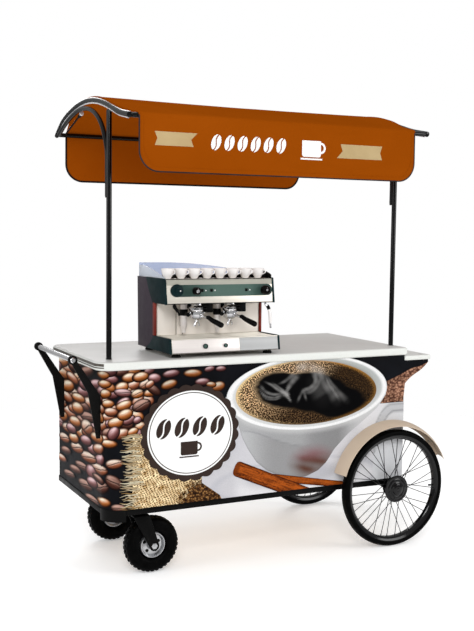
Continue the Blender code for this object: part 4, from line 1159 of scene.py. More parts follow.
def build_counter():
    """Laminate counter with a full round edge, and the shelf at the wheel end."""
    low, high = box_of("counter_top")
    r, small, proud = 0.075, 0.012, 0.0012
    outline = (arc((low.x + r, low.y + r), r, 180, 270, 14)
               + arc((high.x - small, low.y + small), small, 270, 360, 5)
               + arc((high.x - small, high.y - small), small, 0, 90, 5)
               + arc((low.x + r, high.y - r), r, 90, 180, 14))
    piece("counter_laminate", [prism(outline, "Z", low.z, high.z, 0.011, 5, 60)], "counter",
          "counter_top")
    # painted reflection: two grey-brown strips along the counter's left edge stand for the reflection on
    # its rounded edge
    line = [(low.x - proud, high.y - r), (low.x - proud, low.y + r),
            *arc((low.x + r, low.y + r), r + proud, 180, 232, 9)[1:]]
    piece("counter_edge_reflection",
          [sheet([[(x, y, z - half), (x, y, z + half)] for x, y in line])
           for z, half in ((high.z - 0.013, 0.0060), (low.z + 0.014, 0.0025))],
          "edge_reflection")
    foot, tip, under = Vector((BODY_X + 0.0003, 0.834)), Vector((0.968, 0.947)), 0.960
    gusset = [(foot.x + (tip.x - foot.x) * t,
               foot.y + (tip.y - foot.y) * (t + 0.05 * sin(2 * pi * t)))
              for t in (k / 12 for k in range(13))]
    gusset += [(tip.x, under), (foot.x, under)]
    piece("shelf_laminate",
          [block((SHELF_LOW.x, SHELF_LOW.y, under), SHELF_HIGH, 0.006, 4),
           prism(gusset, "Y", 0.368, 0.374, 0.001)], "counter", "side_shelf")
    cap = mm(0.1, -2, 7, -1.8, 7.8, 0, 6, 1.2, 0.1, 1.5)
    piece("shelf_screw_caps", [turned(cap, (x, y, SHELF_HIGH.z), "Z", 20)
                               for x in (0.845, 0.94) for y in (-0.345, 0.345)], "zinc")


def build_handle():
    """Push bar with end caps and the two bent arms."""
    bar = middle_of("handle_bar")
    low, high = box_of("handle_bar")
    r, half, edge = (high.z - low.z) / 2, high.y, 0.003
    profile = ((0.0001, -half), (r - edge, -half), (r, -half + edge), (r, half - edge),
               (r - edge, half), (0.0001, half))
    piece("push_bar", [turned(profile, bar, "Y", 40)], "chrome", "handle_bar")
    for depth, sign in DEPTHS:
        arm = f"handle_arm_{depth}"
        refinish("matte_black", arm)
        outside = box_of(arm)[sign > 0].y
        collar = scaled(mm(0.1, 1.5, 10, 1.5, 12, 0, 16.5, 0, 17.5, -2), sign)
        bolt = scaled(mm(0.1, 4, 5, 3.5, 8, 0), sign)
        bolt_y = middle_of(arm).y + sign * 0.004
        piece(f"handle_end_cap_{depth}",
              [turned(collar, (bar.x, outside, bar.z), "Y", 28),
               *(turned(bolt, (-BODY_X - 0.010, bolt_y, z), "Y", 6) for z in (0.700, 0.790))],
              "satin_black")


# ---------------------------------------------------------------- big wheels and mudguards
SLIM = 0.012                     # how much shallower the tyre and rim look than their CAD solids
SPOKES = 36


def squircle(radius0, radius1, half_width, points, power):
    """A closed rounded profile between two radii."""
    middle, half = (radius0 + radius1) / 2, (radius1 - radius0) / 2
    profile = []
    for t in (2 * pi * i / points for i in range(points)):
        scale = (abs(cos(t)) ** power + abs(sin(t)) ** power) ** (-1 / power)
        profile.append((middle + half * cos(t) * scale, half_width * sin(t) * scale))
    return profile


def spin(reach, turn, along=0.0):
    """A step outwards at an angle round the Y axis, and along it."""
    return Vector((reach * cos(turn), along, reach * sin(turn)))


def build_wheel(depth, sign):
    """Tyre with a shallow tread, glossy rim, laced spokes and the capped hub."""
    tyre, body = f"wheel_tyre_{depth}", f"wheel_{depth}"
    centre = middle_of(tyre)
    low, high = box_of(tyre)
    r, half_w = (high.x - low.x) / 2, (high.y - low.y) / 2
    tread = [(radius - 0.0016 * (radius > r - 0.008 and abs(abs(along) - 0.009) < 0.0025), along)
             for radius, along in squircle(0.2565 + SLIM, r, half_w, 36, 2.3)]
    bead = squircle(0.2560 + SLIM, 0.2660 + SLIM, half_w - 0.006, 14, 3.0)
    piece(f"tyre_{depth}", [turned(line, centre, "Y", 128, True) for line in (tread, bead)],
          "rubber", tyre, body, 50)
    half = mm(243.5, 0, 244.5, 10, 250, 15, 252, 18.5, 255.5, 19.5, 259, 21.5, 264, 23.5, 268, 21.5,
              265, 18.5, 259, 15, 254, 10, 253, 0)
    rim = [(radius + SLIM, along) for radius, along in half + scaled(half[-2:0:-1], -1)]
    stem = [centre + spin(reach + SLIM, radians(-3)) for reach in (0.2450, 0.2330, 0.2325, 0.2200)]
    piece(f"rim_{depth}", [turned(rim, centre, "Y", 128, True),
                           tube(stem, [0.0042, 0.0040, 0.0052, 0.0050], 12)],
          "gloss_black", f"wheel_rim_{depth}", body, 40)
    wires, nipples = [], []
    for k in range(SPOKES):
        flange = sign if k % 2 else -sign
        at_rim = 2 * pi * (k + 0.4) / SPOKES
        at_hub = at_rim + radians(38 if k // 2 % 2 else -38)
        start = centre + spin(0.041, at_hub, flange * 0.024)
        end = centre + spin(0.2436 + SLIM, at_rim, flange * 0.004)
        back = (start - end).normalized()
        wires.append(tube((start, end), 0.0018, 8))
        nipples.append(tube((end, end + back * 0.006, end + back * 0.012),
                            [0.0028, 0.0026, 0.0018], 8))
    piece(f"spokes_{depth}", wires + nipples, "spoke", f"spoked_hub_{depth}", body, 50)
    hub = mm(0.1, -34, 19, -34, 20, -26.5, 44, -26, 45.5, -24, 44, -22, 22, -20, 18.5, -12,
             18.5, 12, 22, 20, 44, 22, 45.5, 24, 44, 27.5, 40, 28)
    cap = mm(40, 27.8, 68, 28.5, 70, 30.5, 70, 35, 68, 37.2, 60, 38.4, 56, 37.2, 53, 39.2, 42, 41.2,
             38.5, 39.8, 35, 41.8, 29, 43.2, 27, 47, 23, 48.8, 12, 49.4, 10, 47.8, 6, 47.8, 0.1, 50)
    lug = scaled(mm(0.1, 43.2, 3.2, 43, 4, 40.5), sign)
    piece(f"hub_{depth}",
          [*(turned(scaled(line, sign), centre, "Y", 72) for line in (hub, cap)),
           *(turned(lug, centre + spin(0.048, radians(60 * k + 12)), "Y", 10) for k in range(6))],
          "gloss_black", f"spoked_hub_{depth}", body)


def build_mudguard(depth, sign):
    """Rolled tan strip over the wheel with a folded inner flange."""
    centre = middle_of(f"wheel_tyre_{depth}")
    centre.y = 0
    section = mm(348, 380.3, 348.5, 390, 347, 405, 344, 420, 340, 435, 334.5, 448, 328, 460.3)
    thick, inner = 0.003, section[0][1]
    flange = section[0][0] - thick - 0.022
    profile = [*section, *((r - thick, max(y, inner + thick)) for r, y in reversed(section)),
               (flange, inner + thick), (flange, inner)]
    start, end, steps = 23.0, 163.0, 84
    guard = skin([[centre + spin(r, turn, sign * y) for r, y in profile] for turn in
                  (radians(start + (end - start) * i / steps) for i in range(steps + 1))])
    piece(f"guard_{depth}", [guard], "tan", f"mudguard_{depth}", crease=50)
    screw = scaled(mm(0.1, 2.4, 3.5, 2, 5, 0), sign)
    piece(f"guard_screws_{depth}",
          [turned(screw, centre + spin(0.334, radians(angle), sign * (inner + thick)), "Y", 14)
           for angle in (40, 93, 146)], "zinc")


# ---------------------------------------------------------------- casters
LUGS = 34
# rows of tread lugs: from and to across the tyre, shift in lugs, drop and lean
LUG_ROWS = ((-0.009, 0.009, 0, 0, 0.006), (0.013, 0.029, 0.5, 0.0035, 0),
            (-0.029, -0.013, 0.5, 0.0035, 0))


def build_caster(depth):
    """Air-tyred caster: knobbly tyre, slotted bright rim, pressed fork and its bolt."""
    low, high = box_of(f"caster_tyre_{depth}")
    centre = (low + high) / 2
    r, half_w, half = (high.x - low.x) / 2, (high.y - low.y) / 2, 0.0075
    wheel = f"caster_wheel_{depth}"
    tyre = [turned(squircle(0.0622, r - 0.003, half_w - 0.002, 28, 2.7), centre, "Y", 72, True)]
    for i in range(LUGS):
        for y0, y1, shift, drop, lean in LUG_ROWS:
            t = 2 * pi * (i + shift) / LUGS
            out, side = Vector((cos(t), 0, sin(t))), Vector((-sin(t), 0, cos(t)))
            tyre.append(skin([[centre + out * (radius - drop - 0.002 * (abs(y) > 0.02))
                               + side * (s * wide + (lean if y > 0 else -lean)) + Vector((0, y, 0))
                               for s, y in ((-1, y0), (1, y0), (1, y1), (-1, y1))]
                              for radius, wide in ((r - 0.009, half * 1.1), (r, half * 0.82))]))
    piece(f"caster_treads_{depth}", tyre, "rubber", f"caster_tyre_{depth}", wheel, 40)
    dish = mm(62.2, 0, 62.2, 30, 60, 33.5, 57, 33, 55, 27, 50, 13, 40, 10.5, 26, 12, 22, 20, 19, 34,
              9, 34.5, 9, 0)
    piece(f"caster_dish_{depth}", [turned(scaled(dish, side), centre, "Y", 64, True)
                                   for side in (-1, 1)],
          "zinc", f"caster_rim_{depth}", wheel)
    hole = [(0.038 + 0.0085 * cos(a), 0.00825 * sin(a)) for a in (2 * pi * m / 20 for m in range(20))]
    piece(f"caster_slots_{depth}",
          [skin([[centre + Vector((x * cos(t) - z * sin(t), side * y, x * sin(t) + z * cos(t)))
                  for x, z in hole] for y in (0.0118, 0.0088)])
           for side in (-1, 1) for t in (2 * pi * k / 5 + 0.3 for k in range(5))],
          "matte_black", body=wheel)

    swivel, crown_z = Vector((centre.x - 0.060, centre.y, 0)), 0.290
    leg0, leg1 = 0.0485, 0.0535
    leg = [(swivel.x - 0.0452, crown_z - 0.002), (swivel.x + 0.0352, crown_z - 0.002),
           *arc(centre.xz, 0.024, 20, -160, 16)]
    race = mm(0.1, 288.5, 34.5, 288.5, 36.5, 291.5, 36.5, 295.5, 33.5, 298.5, 34.5, 301, 31, 306,
              28.5, 309.4, 0.1, 309.4)
    kingpin = mm(0.1, 276, 6, 276, 10, 279, 11, 282.5)
    piece(f"fork_{depth}",
          [block((swivel.x - 0.045, centre.y - leg1, crown_z - 0.008),
                 (swivel.x + 0.035, centre.y + leg1, crown_z), 0.003, 3),
           *(prism(leg, "Y", centre.y + a, centre.y + b, 0.0012)
             for a, b in ((leg0, leg1), (-leg1, -leg0))),
           turned(race, swivel, "Z", 40), turned(kingpin, swivel, "Z", 6)],
          "satin_black", f"caster_fork_{depth}", f"caster_{depth}")
    nut = mm(0.1, 62, 4.5, 62, 5, 58, 11.5, 57.5, 12.5, 54.5, 15, 54, 15, 53)
    reach = Vector((0, 0.053, 0))
    piece(f"caster_bolt_{depth}",
          [turned(scaled(nut, -1), centre, "Y", 6), turned(nut, centre, "Y", 24),
           tube((centre - reach, centre + reach), 0.0078, 16)],
          "zinc", body=f"caster_{depth}")
    plate = f"caster_plate_{depth}"
    refinish("satin_black", plate)
    low, high = box_of(plate)
    head, inset = mm(0.1, -5, 7, -5, 7.8, -4, 7.8, 0), 0.014
    piece(f"caster_screws_{depth}",
          [turned(head, (x, y, low.z), "Z", 6) for x in (low.x + inset, high.x - inset)
           for y in (low.y + inset, high.y - inset)], "zinc")


# ---------------------------------------------------------------- posts, hoops and the canopy
HOOP_CROWN = mm(-420, 2139, -330, 2166, -230, 2196, -110, 2223, 20, 2236, 150, 2232, 290, 2212,
                420, 2178)
HOOP_LINE = mm(-548, 2114, -530, 2118) + HOOP_CROWN + mm(520, 2127, 548, 2105)
BRACE_LINE = mm(-256.9, 1775, -256.9, 1900, -252.9, 1980, -215, 2060, -155, 2125, -70, 2172,
                30, 2198, 150, 2205, 280, 2186, 400, 2153, 500, 2113)
TUBE_R = 0.011


def build_posts():
    """Posts with foot flanges, hoops, braces, long rails and the small stays."""
    def rods(name, look, *tubes, replaces=None):
        piece(name, [tube(*rod) for rod in tubes], look, replaces)

    for side, inward in (("left", 1), ("right", -1)):
        x, y, _ = middle_of(f"post_{side}")
        (*_, foot), (*_, top) = box_of(f"post_{side}")
        r = 0.0125
        profile = ((0.0001, foot), (r + 0.0022, foot), (r + 0.0026, foot + 0.0012), (r, foot + 0.003),
                   (r, top - 0.003), (r - 0.003, top), (0.0001, top))
        piece(f"pole_{side}", [turned(profile, (x, y, 0), "Z", 32)], "gloss_black",
              f"post_{side}")
        hoop = smooth_path([(x, *place) for place in HOOP_LINE], 7)
        # the first bend is a thicker rolled end
        radii = [TUBE_R * (1.0 + 0.22 * ease(-0.30, -0.42, p.y)) for p in hoop]
        radii[0] = radii[-1] = TUBE_R * 0.75
        rods(f"roof_hoop_{side}", "gloss_black", (hoop, radii, 20), replaces=f"hoop_{side}")
        brace = smooth_path([(x, *place) for place in BRACE_LINE], 7)
        end = brace[0]
        rods(f"roof_brace_{side}", "gloss_black", (brace, TUBE_R, 20), replaces=f"brace_{side}")
        rods(f"brace_plug_{side}", "satin_black", ((end, end - Vector((0, 0, 0.006))),
                                                   TUBE_R * 0.9, 20))
        # a pale channel strip under each hoop, which also stands for a painted highlight along the
        # hoop's underside
        strip = smooth_path([(x, y, z - TUBE_R - 0.0035) for y, z in HOOP_LINE[1:-1]], 7)
        rods(f"hoop_channel_and_highlight_{side}", "pale_strip", (strip, 0.0036, 10))
        start = Vector((x + inward * 0.018, 0.205, 2.184))
        on_rail = Vector((start.x, RAIL_Y - 0.10, RAIL_Z - 0.002))
        clamp, collar = ([start + Vector((0, *step)) for step in steps]
                         for steps in (mm(-30, 6, 10, -4), mm(-34, 8, -24, 5)))
        rods(f"roof_stay_{side}", "satin_black", ((start, on_rail), 0.0045, 12), (clamp, 0.009, 14))
        rods(f"stay_collar_{side}", "pale_strip", (collar, 0.0105, 16))
    for depth, sign in DEPTHS:
        low, high = box_of(f"{depth}_rail")
        r, edge = (high.z - low.z) / 2, 0.002
        line = [(x, sign * RAIL_Y, RAIL_Z) for x in (low.x, low.x + edge, high.x - edge, high.x)]
        rods(f"long_rail_{depth}", "gloss_black", (line, [r - edge, r, r, r - edge], 20),
             replaces=f"{depth}_rail")


COVER_LIFT = 0.015
COVER_T = 0.0022
HEM_Z = box_of("canopy_cover")[0].z
FLAP_CORNER = 0.090
FLAP_Y = RAIL_Y + COVER_LIFT
ROOF_X = (-0.762, 0.783)
FRONT_X = (-0.734, 0.712)
BACK_X = (-0.720, 0.700)
SHOULDER = 0.25                  # beyond this |y| the roof narrows towards its flaps
COLUMNS = 72


def cover_rows():
    """The cloth's cross-section (y, z, x0, x1) from the back hem over the roof to the front."""
    def flap(y, z, limits):
        drop = max(FLAP_CORNER - (z - HEM_Z), 0)
        inset = FLAP_CORNER - sqrt(max(FLAP_CORNER ** 2 - drop ** 2, 0))
        return (y, z, limits[0] + inset, limits[1] - inset)

    corner = [HEM_Z + FLAP_CORNER * (1 - cos(radians(a))) for a in range(0, 91, 6)]
    top = RAIL_Z - 0.02
    hanging = corner + [corner[-1] + (top - corner[-1]) * k / 6 for k in range(1, 7)]
    over = arc((RAIL_Y, RAIL_Z), COVER_LIFT, 0, 60, 6)
    rows = [flap(FLAP_Y, z, BACK_X) for z in hanging] + [(*place, *BACK_X) for place in over]
    crown = smooth_path([(0, y, z) for y, z in reversed(HOOP_CROWN)], 5)
    for before, here, after in zip(crown, crown[1:], crown[2:]):
        along = (after - before).normalized()
        place = here + Vector((0, along.z, -along.y)) * COVER_LIFT
        share = ease(SHOULDER, RAIL_Y, abs(place.y))
        edge = FRONT_X if place.y < 0 else BACK_X
        rows.append((place.y, place.z, *(a + (b - a) * share for a, b in zip(ROOF_X, edge))))
    rows += [(-y, z, *FRONT_X) for y, z in reversed(over)]
    return rows + [flap(-FLAP_Y, z, FRONT_X) for z in reversed(hanging)]


def slack(x, y, z):
    """How far the cloth hangs off its taut line: low between the hoops, gently rippled flaps."""
    if z > RAIL_Z + 0.005:
        share = (x - ROOF_X[0]) / (ROOF_X[1] - ROOF_X[0])
        sag = -0.005 * sin(pi * min(max(share, 0), 1)) + 0.0008 * wobble(x * 5, y * 7, 3)
        return sag * ease(RAIL_Y - 0.02, RAIL_Y - 0.14, abs(y))
    ripple = sin(x * 9.0 + 1.3) + 0.6 * sin(x * 21.0 + 4.0)
    return ease(RAIL_Z, HEM_Z, z) * (0.0016 * ripple + 0.0012 * wobble(x * 4, z * 6, y * 3))


def build_canopy():
    """One cloth sheet over the roof that hangs down front and back, with corded edges."""
    rows = cover_rows()
    last = len(rows) - 1
    grid = []
    flat_area, flat_length = 0.0, 0.0
    for i, (y, z, x0, x1) in enumerate(rows):
        before, after = rows[max(i - 1, 0)], rows[min(i + 1, last)]
        along = Vector((after[0] - before[0], after[1] - before[1])).normalized()
        out = Vector((along.y, -along.x))
        if z <= RAIL_Z:
            out = Vector((1 if y > 0 else -1, 0))
        elif out.y < 0:
            out = -out
        line = []
        for x in (x0 + (x1 - x0) * k / COLUMNS for k in range(COLUMNS + 1)):
            push = slack(x, y, z)
            line.append(Vector((x, y + out.x * push, z + out.y * push)))
        grid.append(line)
        if i:
            y_last, z_last, x0_last, x1_last = rows[i - 1]
            step = hypot(y - y_last, z - z_last)
            flat_length += step
            flat_area += step * ((x1 - x0) + (x1_last - x0_last)) / 2
    bm = sheet(grid)
    bmesh.ops.recalc_face_normals(bm, faces=bm.faces)
    cover = piece("canopy_sheet", [bm], "canvas", "canopy_cover", crease=60)
    thick = cover.modifiers.new("thickness", "SOLIDIFY")
    thick.thickness = COVER_T
    thick.offset = 0.0

    def border(front):
        """The edge of one hanging flap, down one side, along the hem and up the other."""
        down = [i for i, row in enumerate(rows) if row[1] <= RAIL_Z and (row[0] < 0) == front]
        if not front:
            down.reverse()
        return ([grid[i][0] for i in down] + grid[down[-1]][1:-1]
                + [grid[i][-1] for i in reversed(down)])

    def trimming(name, look, *tubes):
        return piece(name, [tube(*cord) for cord in tubes], look)

    front = trimming("front_piping", "grey_piping", (border(True), 0.0032, 10))
    back = trimming("back_piping", "piping", (border(False), 0.0050, 10))
    roof = [line for line, row in zip(grid, rows) if row[1] > RAIL_Z]
    ends = trimming("roof_edge_cord", "canvas",
                    *(([line[end] for line in roof], 0.0028, 10) for end in (0, -1)))
    hems = []
    for y_out in (-1, 1):
        line = border(y_out < 0)
        middle_x = (line[0].x + line[-1].x) / 2
        seam = []
        for p in line:
            toward = Vector((middle_x - p.x, 0, 0)).normalized() * 0.02
            lift = 0.02 if p.z < HEM_Z + FLAP_CORNER else 0
            seam.append(p + toward * (1 if p.z > HEM_Z + 0.02 else 0.2)
                        + Vector((0, y_out * 0.0017, lift)))
        hems.append((seam, 0.0006, 6))
    seams = trimming("hem_seams", "canvas", *hems)


def on_flap(outline):
    """A flat mark sewn on the front flap, following its ripples."""
    return filled(outline, lambda x, z: -FLAP_Y - slack(x, -FLAP_Y, z) - 0.0022)


def build_flap_marks():
    """Tan ribbons and made-up white icons on the front flap: a row of beans and a mug."""
    notch = 0.012
    ribbons = []
    # ends at the top and the bottom: one corner of each ribbon runs out further
    for left, right, low_left, low_right, low, high in (
            (-0.664, -0.480 + 0.018, -0.664, -0.480, 1.990, 2.050),
            (0.282, 0.520, 0.282 - 0.020, 0.520, 1.974, 2.040)):
        middle = (low + high) / 2
        ribbons.append(on_flap([(left, high), (right, high), (low_right - notch, middle),
                                (low_right, low), (low_left, low), (left + notch, middle)]))
    piece("flap_ribbons", ribbons, "tan_ink")
    outlines = [half for k in range(6) for half in
                bean_icon(Vector((-0.370 + 0.330 * k / 5, 2.016)), 0.074, 0.046, radians(68))]
    outlines += mug_icon(Vector((0.122, 2.010)), 0.082)
    piece("flap_icons", [on_flap(line) for line in outlines], "white_ink")


# ---------------------------------------------------------------- coffee machine
MACHINE_X = (-0.505, 0.070)
BASE_Z = 1.050
HOOD_Z = 1.278
TOP_Z = 1.395
TRAY_Z = 1.118
SPLASH_Y = -0.170
BACK_Y = 0.058
WALL = 0.007                     # thickness of the machine's sides
FASCIA_TOP, FASCIA_LOW = -0.294, -0.312          # depth of the sloping front's edges
CONTROL_Z = 1.340
KNOB_X = (-0.356, 0.012)
BUTTON_X = (-0.316, -0.268, -0.081)
GROUP_Y = -0.245
GROUP_X = (-0.318, -0.140)
BLACK = "black_plastic"


def fascia_y(z, proud=0.0):
    """The front face of the head at height z."""
    return FASCIA_LOW + (FASCIA_TOP - FASCIA_LOW) * (z - HOOD_Z) / (TOP_Z - HOOD_Z) - proud


def on_fascia(outline, proud, depth):
    """A plate that follows the sloping fascia; outline in (x, z)."""
    return skin([[(x, fascia_y(z, lift), z) for x, z in outline] for lift in (proud, proud - depth)])


def build_machine_body():
    """The machine's sheet-metal body with its splash panels and dark seams."""
    x0, x1 = MACHINE_X
    head = [(-0.110, HOOD_Z), (FASCIA_LOW, HOOD_Z), (FASCIA_TOP, TOP_Z), (-0.110, TOP_Z)]
    base = [(-0.160, BASE_Z), (-0.374, BASE_Z), (-0.362, TRAY_Z), (-0.352, TRAY_Z), (-0.352, 1.086),
            (SPLASH_Y - 0.006, 1.086), (SPLASH_Y - 0.006, TRAY_Z), (-0.160, TRAY_Z)]
    column = [(-0.168, BASE_Z + 0.002), (0.045, BASE_Z + 0.002), (BACK_Y, TOP_Z - 0.002),
              (-0.112, TOP_Z - 0.002), (-0.112, HOOD_Z + 0.002), (-0.168, HOOD_Z + 0.002)]
    shell = [prism(line, "X", x0 + WALL, x1 - WALL, 0.0022, 3) for line in (head, base, column)]
    shell.append(block((x0 + 0.008, -0.3655, TRAY_Z - 0.003), (x1 - 0.008, -0.350, TRAY_Z + 0.001),
                       0.001))
    piece("machine_shell", shell, "steel", "machine_casing")
    # one steel apron painted as two: its left part brighter as a painted highlight, its right part
    # darker as painted shade
    for name, look, low, high in (("machine_apron", "pale_steel_and_highlight", x0 + 0.010, -0.147),
                                  ("machine_apron_right", "shaded_steel", -0.145, x1 - 0.008)):
        front = [(low, -0.3752, BASE_Z + 0.004), (high, -0.3752, BASE_Z + 0.004),
                 (high, -0.3640, TRAY_Z - 0.004), (low, -0.3640, TRAY_Z - 0.004)]
        back = [(x, y + 0.004, z) for x, y, z in front]
        piece(name, [softened(skin([front, back]), 0.0008)], look)
    upper = [(x0 + 0.008, CONTROL_Z + 0.026), (x1 - 0.008, CONTROL_Z + 0.026),
             (x1 - 0.008, TOP_Z - 0.003), (x0 + 0.008, TOP_Z - 0.003)]
    piece("fascia_band", [on_fascia(upper, 0.0006, 0.001)], "dull_steel")
    piece("machine_splash",
          [block((low, SPLASH_Y - proud, TRAY_Z + 0.001), (high, SPLASH_Y, HOOD_Z - 0.001), *edge)
           for low, high, proud, edge in ((x0 + 0.014, -0.398, 0.0012, (0.0006, 1)),
                                          (-0.394, -0.362, 0.0020, (0.0008, 2)),
                                          (-0.358, x1 - 0.014, 0.0012, (0.0006, 1)))],
          "splash")
    seams = (((x0 + 0.008, -0.3124, HOOD_Z - 0.001), (x1 - 0.008, -0.3080, HOOD_Z + 0.003), 0.0005, 1),
             ((x0 + 0.008, -0.2960, TOP_Z - 0.002), (x1 - 0.008, -0.2850, TOP_Z + 0.0015), 0.0005, 1),
             ((x0 + 0.010, -0.3757, BASE_Z + 0.0015), (x1 - 0.008, -0.3735, BASE_Z + 0.004), 0.0004, 1),
             *(((x, SPLASH_Y - 0.0024, TRAY_Z + 0.002), (x + 0.0015, SPLASH_Y, HOOD_Z - 0.002),
                0.0003, 1) for x in (-0.3930, -0.3600)),
             ((-0.3735, SPLASH_Y - 0.009, 1.160), (-0.3665, SPLASH_Y - 0.0005, 1.205), 0.0015, 2))
    piece("machine_seams", [block(*seam) for seam in seams], "matte_black")


def build_machine_sides():
    """Dark side panels, green cheeks and red columns."""
    x0, x1 = MACHINE_X
    panel = [(0.046, BASE_Z + 0.001), (BACK_Y + 0.0005, TOP_Z + 0.001), (-0.062, TOP_Z + 0.001),
             (-0.102, 1.345), (-0.122, 1.300), (-0.146, HOOD_Z), (-0.150, TRAY_Z - 0.010),
             (-0.120, BASE_Z + 0.030), (-0.060, BASE_Z + 0.001)]
    cheek_head = [(-0.060, TOP_Z + 0.003), (FASCIA_TOP - 0.002, TOP_Z + 0.003),
                  (FASCIA_LOW - 0.003, HOOD_Z - 0.002), (-0.172, HOOD_Z - 0.002), (-0.146, 1.284),
                  (-0.118, 1.310), (-0.088, 1.350), (-0.070, 1.380)]
    cheek_base = [(-0.060, BASE_Z), (-0.376, BASE_Z), (-0.366, TRAY_Z + 0.002),
                  (-0.340, TRAY_Z + 0.003), (-0.160, TRAY_Z + 0.001), (-0.118, BASE_Z + 0.030)]
    panels, cheeks, columns = [], [], []
    for low, high in ((x0 - 0.0015, x0 + WALL), (x1 - WALL, x1 + 0.0015)):
        panels.append(prism(panel, "X", low, high, 0.0015))
        extra, middle = 0.002 if low < 0 else -0.002, (low + high) / 2
        cheeks += [prism(line, "X", min(low, low - extra), max(high, high - extra), 0.003, 3)
                   for line in (cheek_head, cheek_base)]
        columns.append(block((middle - 0.006, -0.178, TRAY_Z + 0.001),
                             (middle + 0.006, -0.151, HOOD_Z - 0.001), 0.003, 3))
    piece("machine_side_panels", panels, "slate")
    piece("machine_cheeks", cheeks, "green")
    piece("machine_columns", columns, "red")


def build_machine_marks():
    """Control strip with its dial and lamps, two small gauges and the feet."""
    x0, x1 = MACHINE_X
    left, right, half = -0.452, 0.034, 0.028
    ends = arc((left, CONTROL_Z), half, 90, 270, 12) + arc((right, CONTROL_Z), half, -90, 90, 12)
    piece("control_strip", [on_fascia(ends, 0.0012, 0.002)], "strip")
    dial = mm(0.1, -10.5, 12, -10.5, 13, -6.6, 27, -5.6, 31.5, -3.4, 32.2, 1)
    piece("pressure_dial", [turned(dial, (-0.446, fascia_y(CONTROL_Z), CONTROL_Z), "Y", 48)],
          "green")
    lamp = mm(0.1, -4, 2.2, -3.6, 3.4, -1, 3.4, 1)
    lamps = [(-0.4320, 0.0090), *((x + 0.019, 0.0012) for x in BUTTON_X)]
    piece("indicator_lamps", [turned(lamp, (x, fascia_y(CONTROL_Z, proud), CONTROL_Z), "Y", 16)
                              for x, proud in lamps], "white_ink")
    bezels, glasses = [], []
    for x, r in ((-0.328, 0.0120), (-0.222, 0.0095)):
        place = (x, -0.3715, 1.082)
        bezels.append(turned(((0.0001, -0.0020), (r * 0.78, -0.0024), (r * 0.84, -0.0060),
                              (r, -0.0052), (r, 0.002)), place, "Y", 32))
        glasses.append(turned(((0.0001, -0.0030), (r * 0.76, -0.0030), (r * 0.76, 0.0)), place,
                              "Y", 24))
    piece("gauge_bezels", bezels, "green")
    piece("gauge_glasses", glasses, "strip")
    floor = box_of("machine_casing")[0].z
    foot = ((0.0001, floor), (0.021, floor), (0.0225, floor + 0.002), (0.0215, floor + 0.009),
            (0.0185, floor + 0.012), (0.018, BASE_Z + 0.001), (0.0001, BASE_Z + 0.001))
    piece("machine_feet", [turned(foot, (x, y, 0), "Z", 32) for x in (x0 + 0.045, x1 - 0.045)
                           for y in (-0.330, 0.005)], "satin_black")


DRAIN = (0.052, 0.036)           # a group's drain pipe stands this far left of it and behind it
HOLE_R = 0.0185                  # the grille's holes for the drain pipes


def build_tray():
    """Drip tray with a bright slotted grille."""
    low, high = box_of("drip_tray")
    wall = 0.004
    parts = [block(*box, 0.001, 1) for box in (
        (low, (high.x, high.y, low.z + wall)), (low, (high.x, low.y + wall, high.z)),
        ((low.x, high.y - wall, low.z), high), (low, (low.x + wall, high.y, high.z)),
        ((high.x - wall, low.y, low.z), high))]
    drain_y = GROUP_Y + DRAIN[1]
    holes = [x - DRAIN[0] for x in GROUP_X]
    for y in (low.y + 0.010 + (high.y - low.y - 0.020) * k / 10 for k in range(11)):
        stops = [low.x + wall, high.x - wall]
        if abs(y - drain_y) < HOLE_R + 0.0035:
            stops[1:1] = [x + side * HOLE_R for x in holes for side in (-1, 1)]
        parts += [block((xa, y - 0.0035, high.z - 0.003), (xb, y + 0.0035, high.z - 0.0002), 0.001)
                  for xa, xb in zip(stops[::2], stops[1::2])]
    ring = [(HOLE_R + reach, high.z - drop) for reach, drop in
            ((-0.0005, 0.0035), (0.0030, 0.0035), (0.0030, 0.0004), (-0.0005, 0.0004))]
    parts += [turned(ring, (x, drain_y, 0), "Z", 32, True) for x in holes]
    parts += [block((x - 0.003, low.y + wall, high.z - 0.0055),
                    (x + 0.003, high.y - wall, high.z - 0.003), 0.0006, 1)
              for x in (low.x + 0.09, (low.x + high.x) / 2, high.x - 0.13)]
    piece("tray_grille", parts, "steel", "drip_tray", "tray")


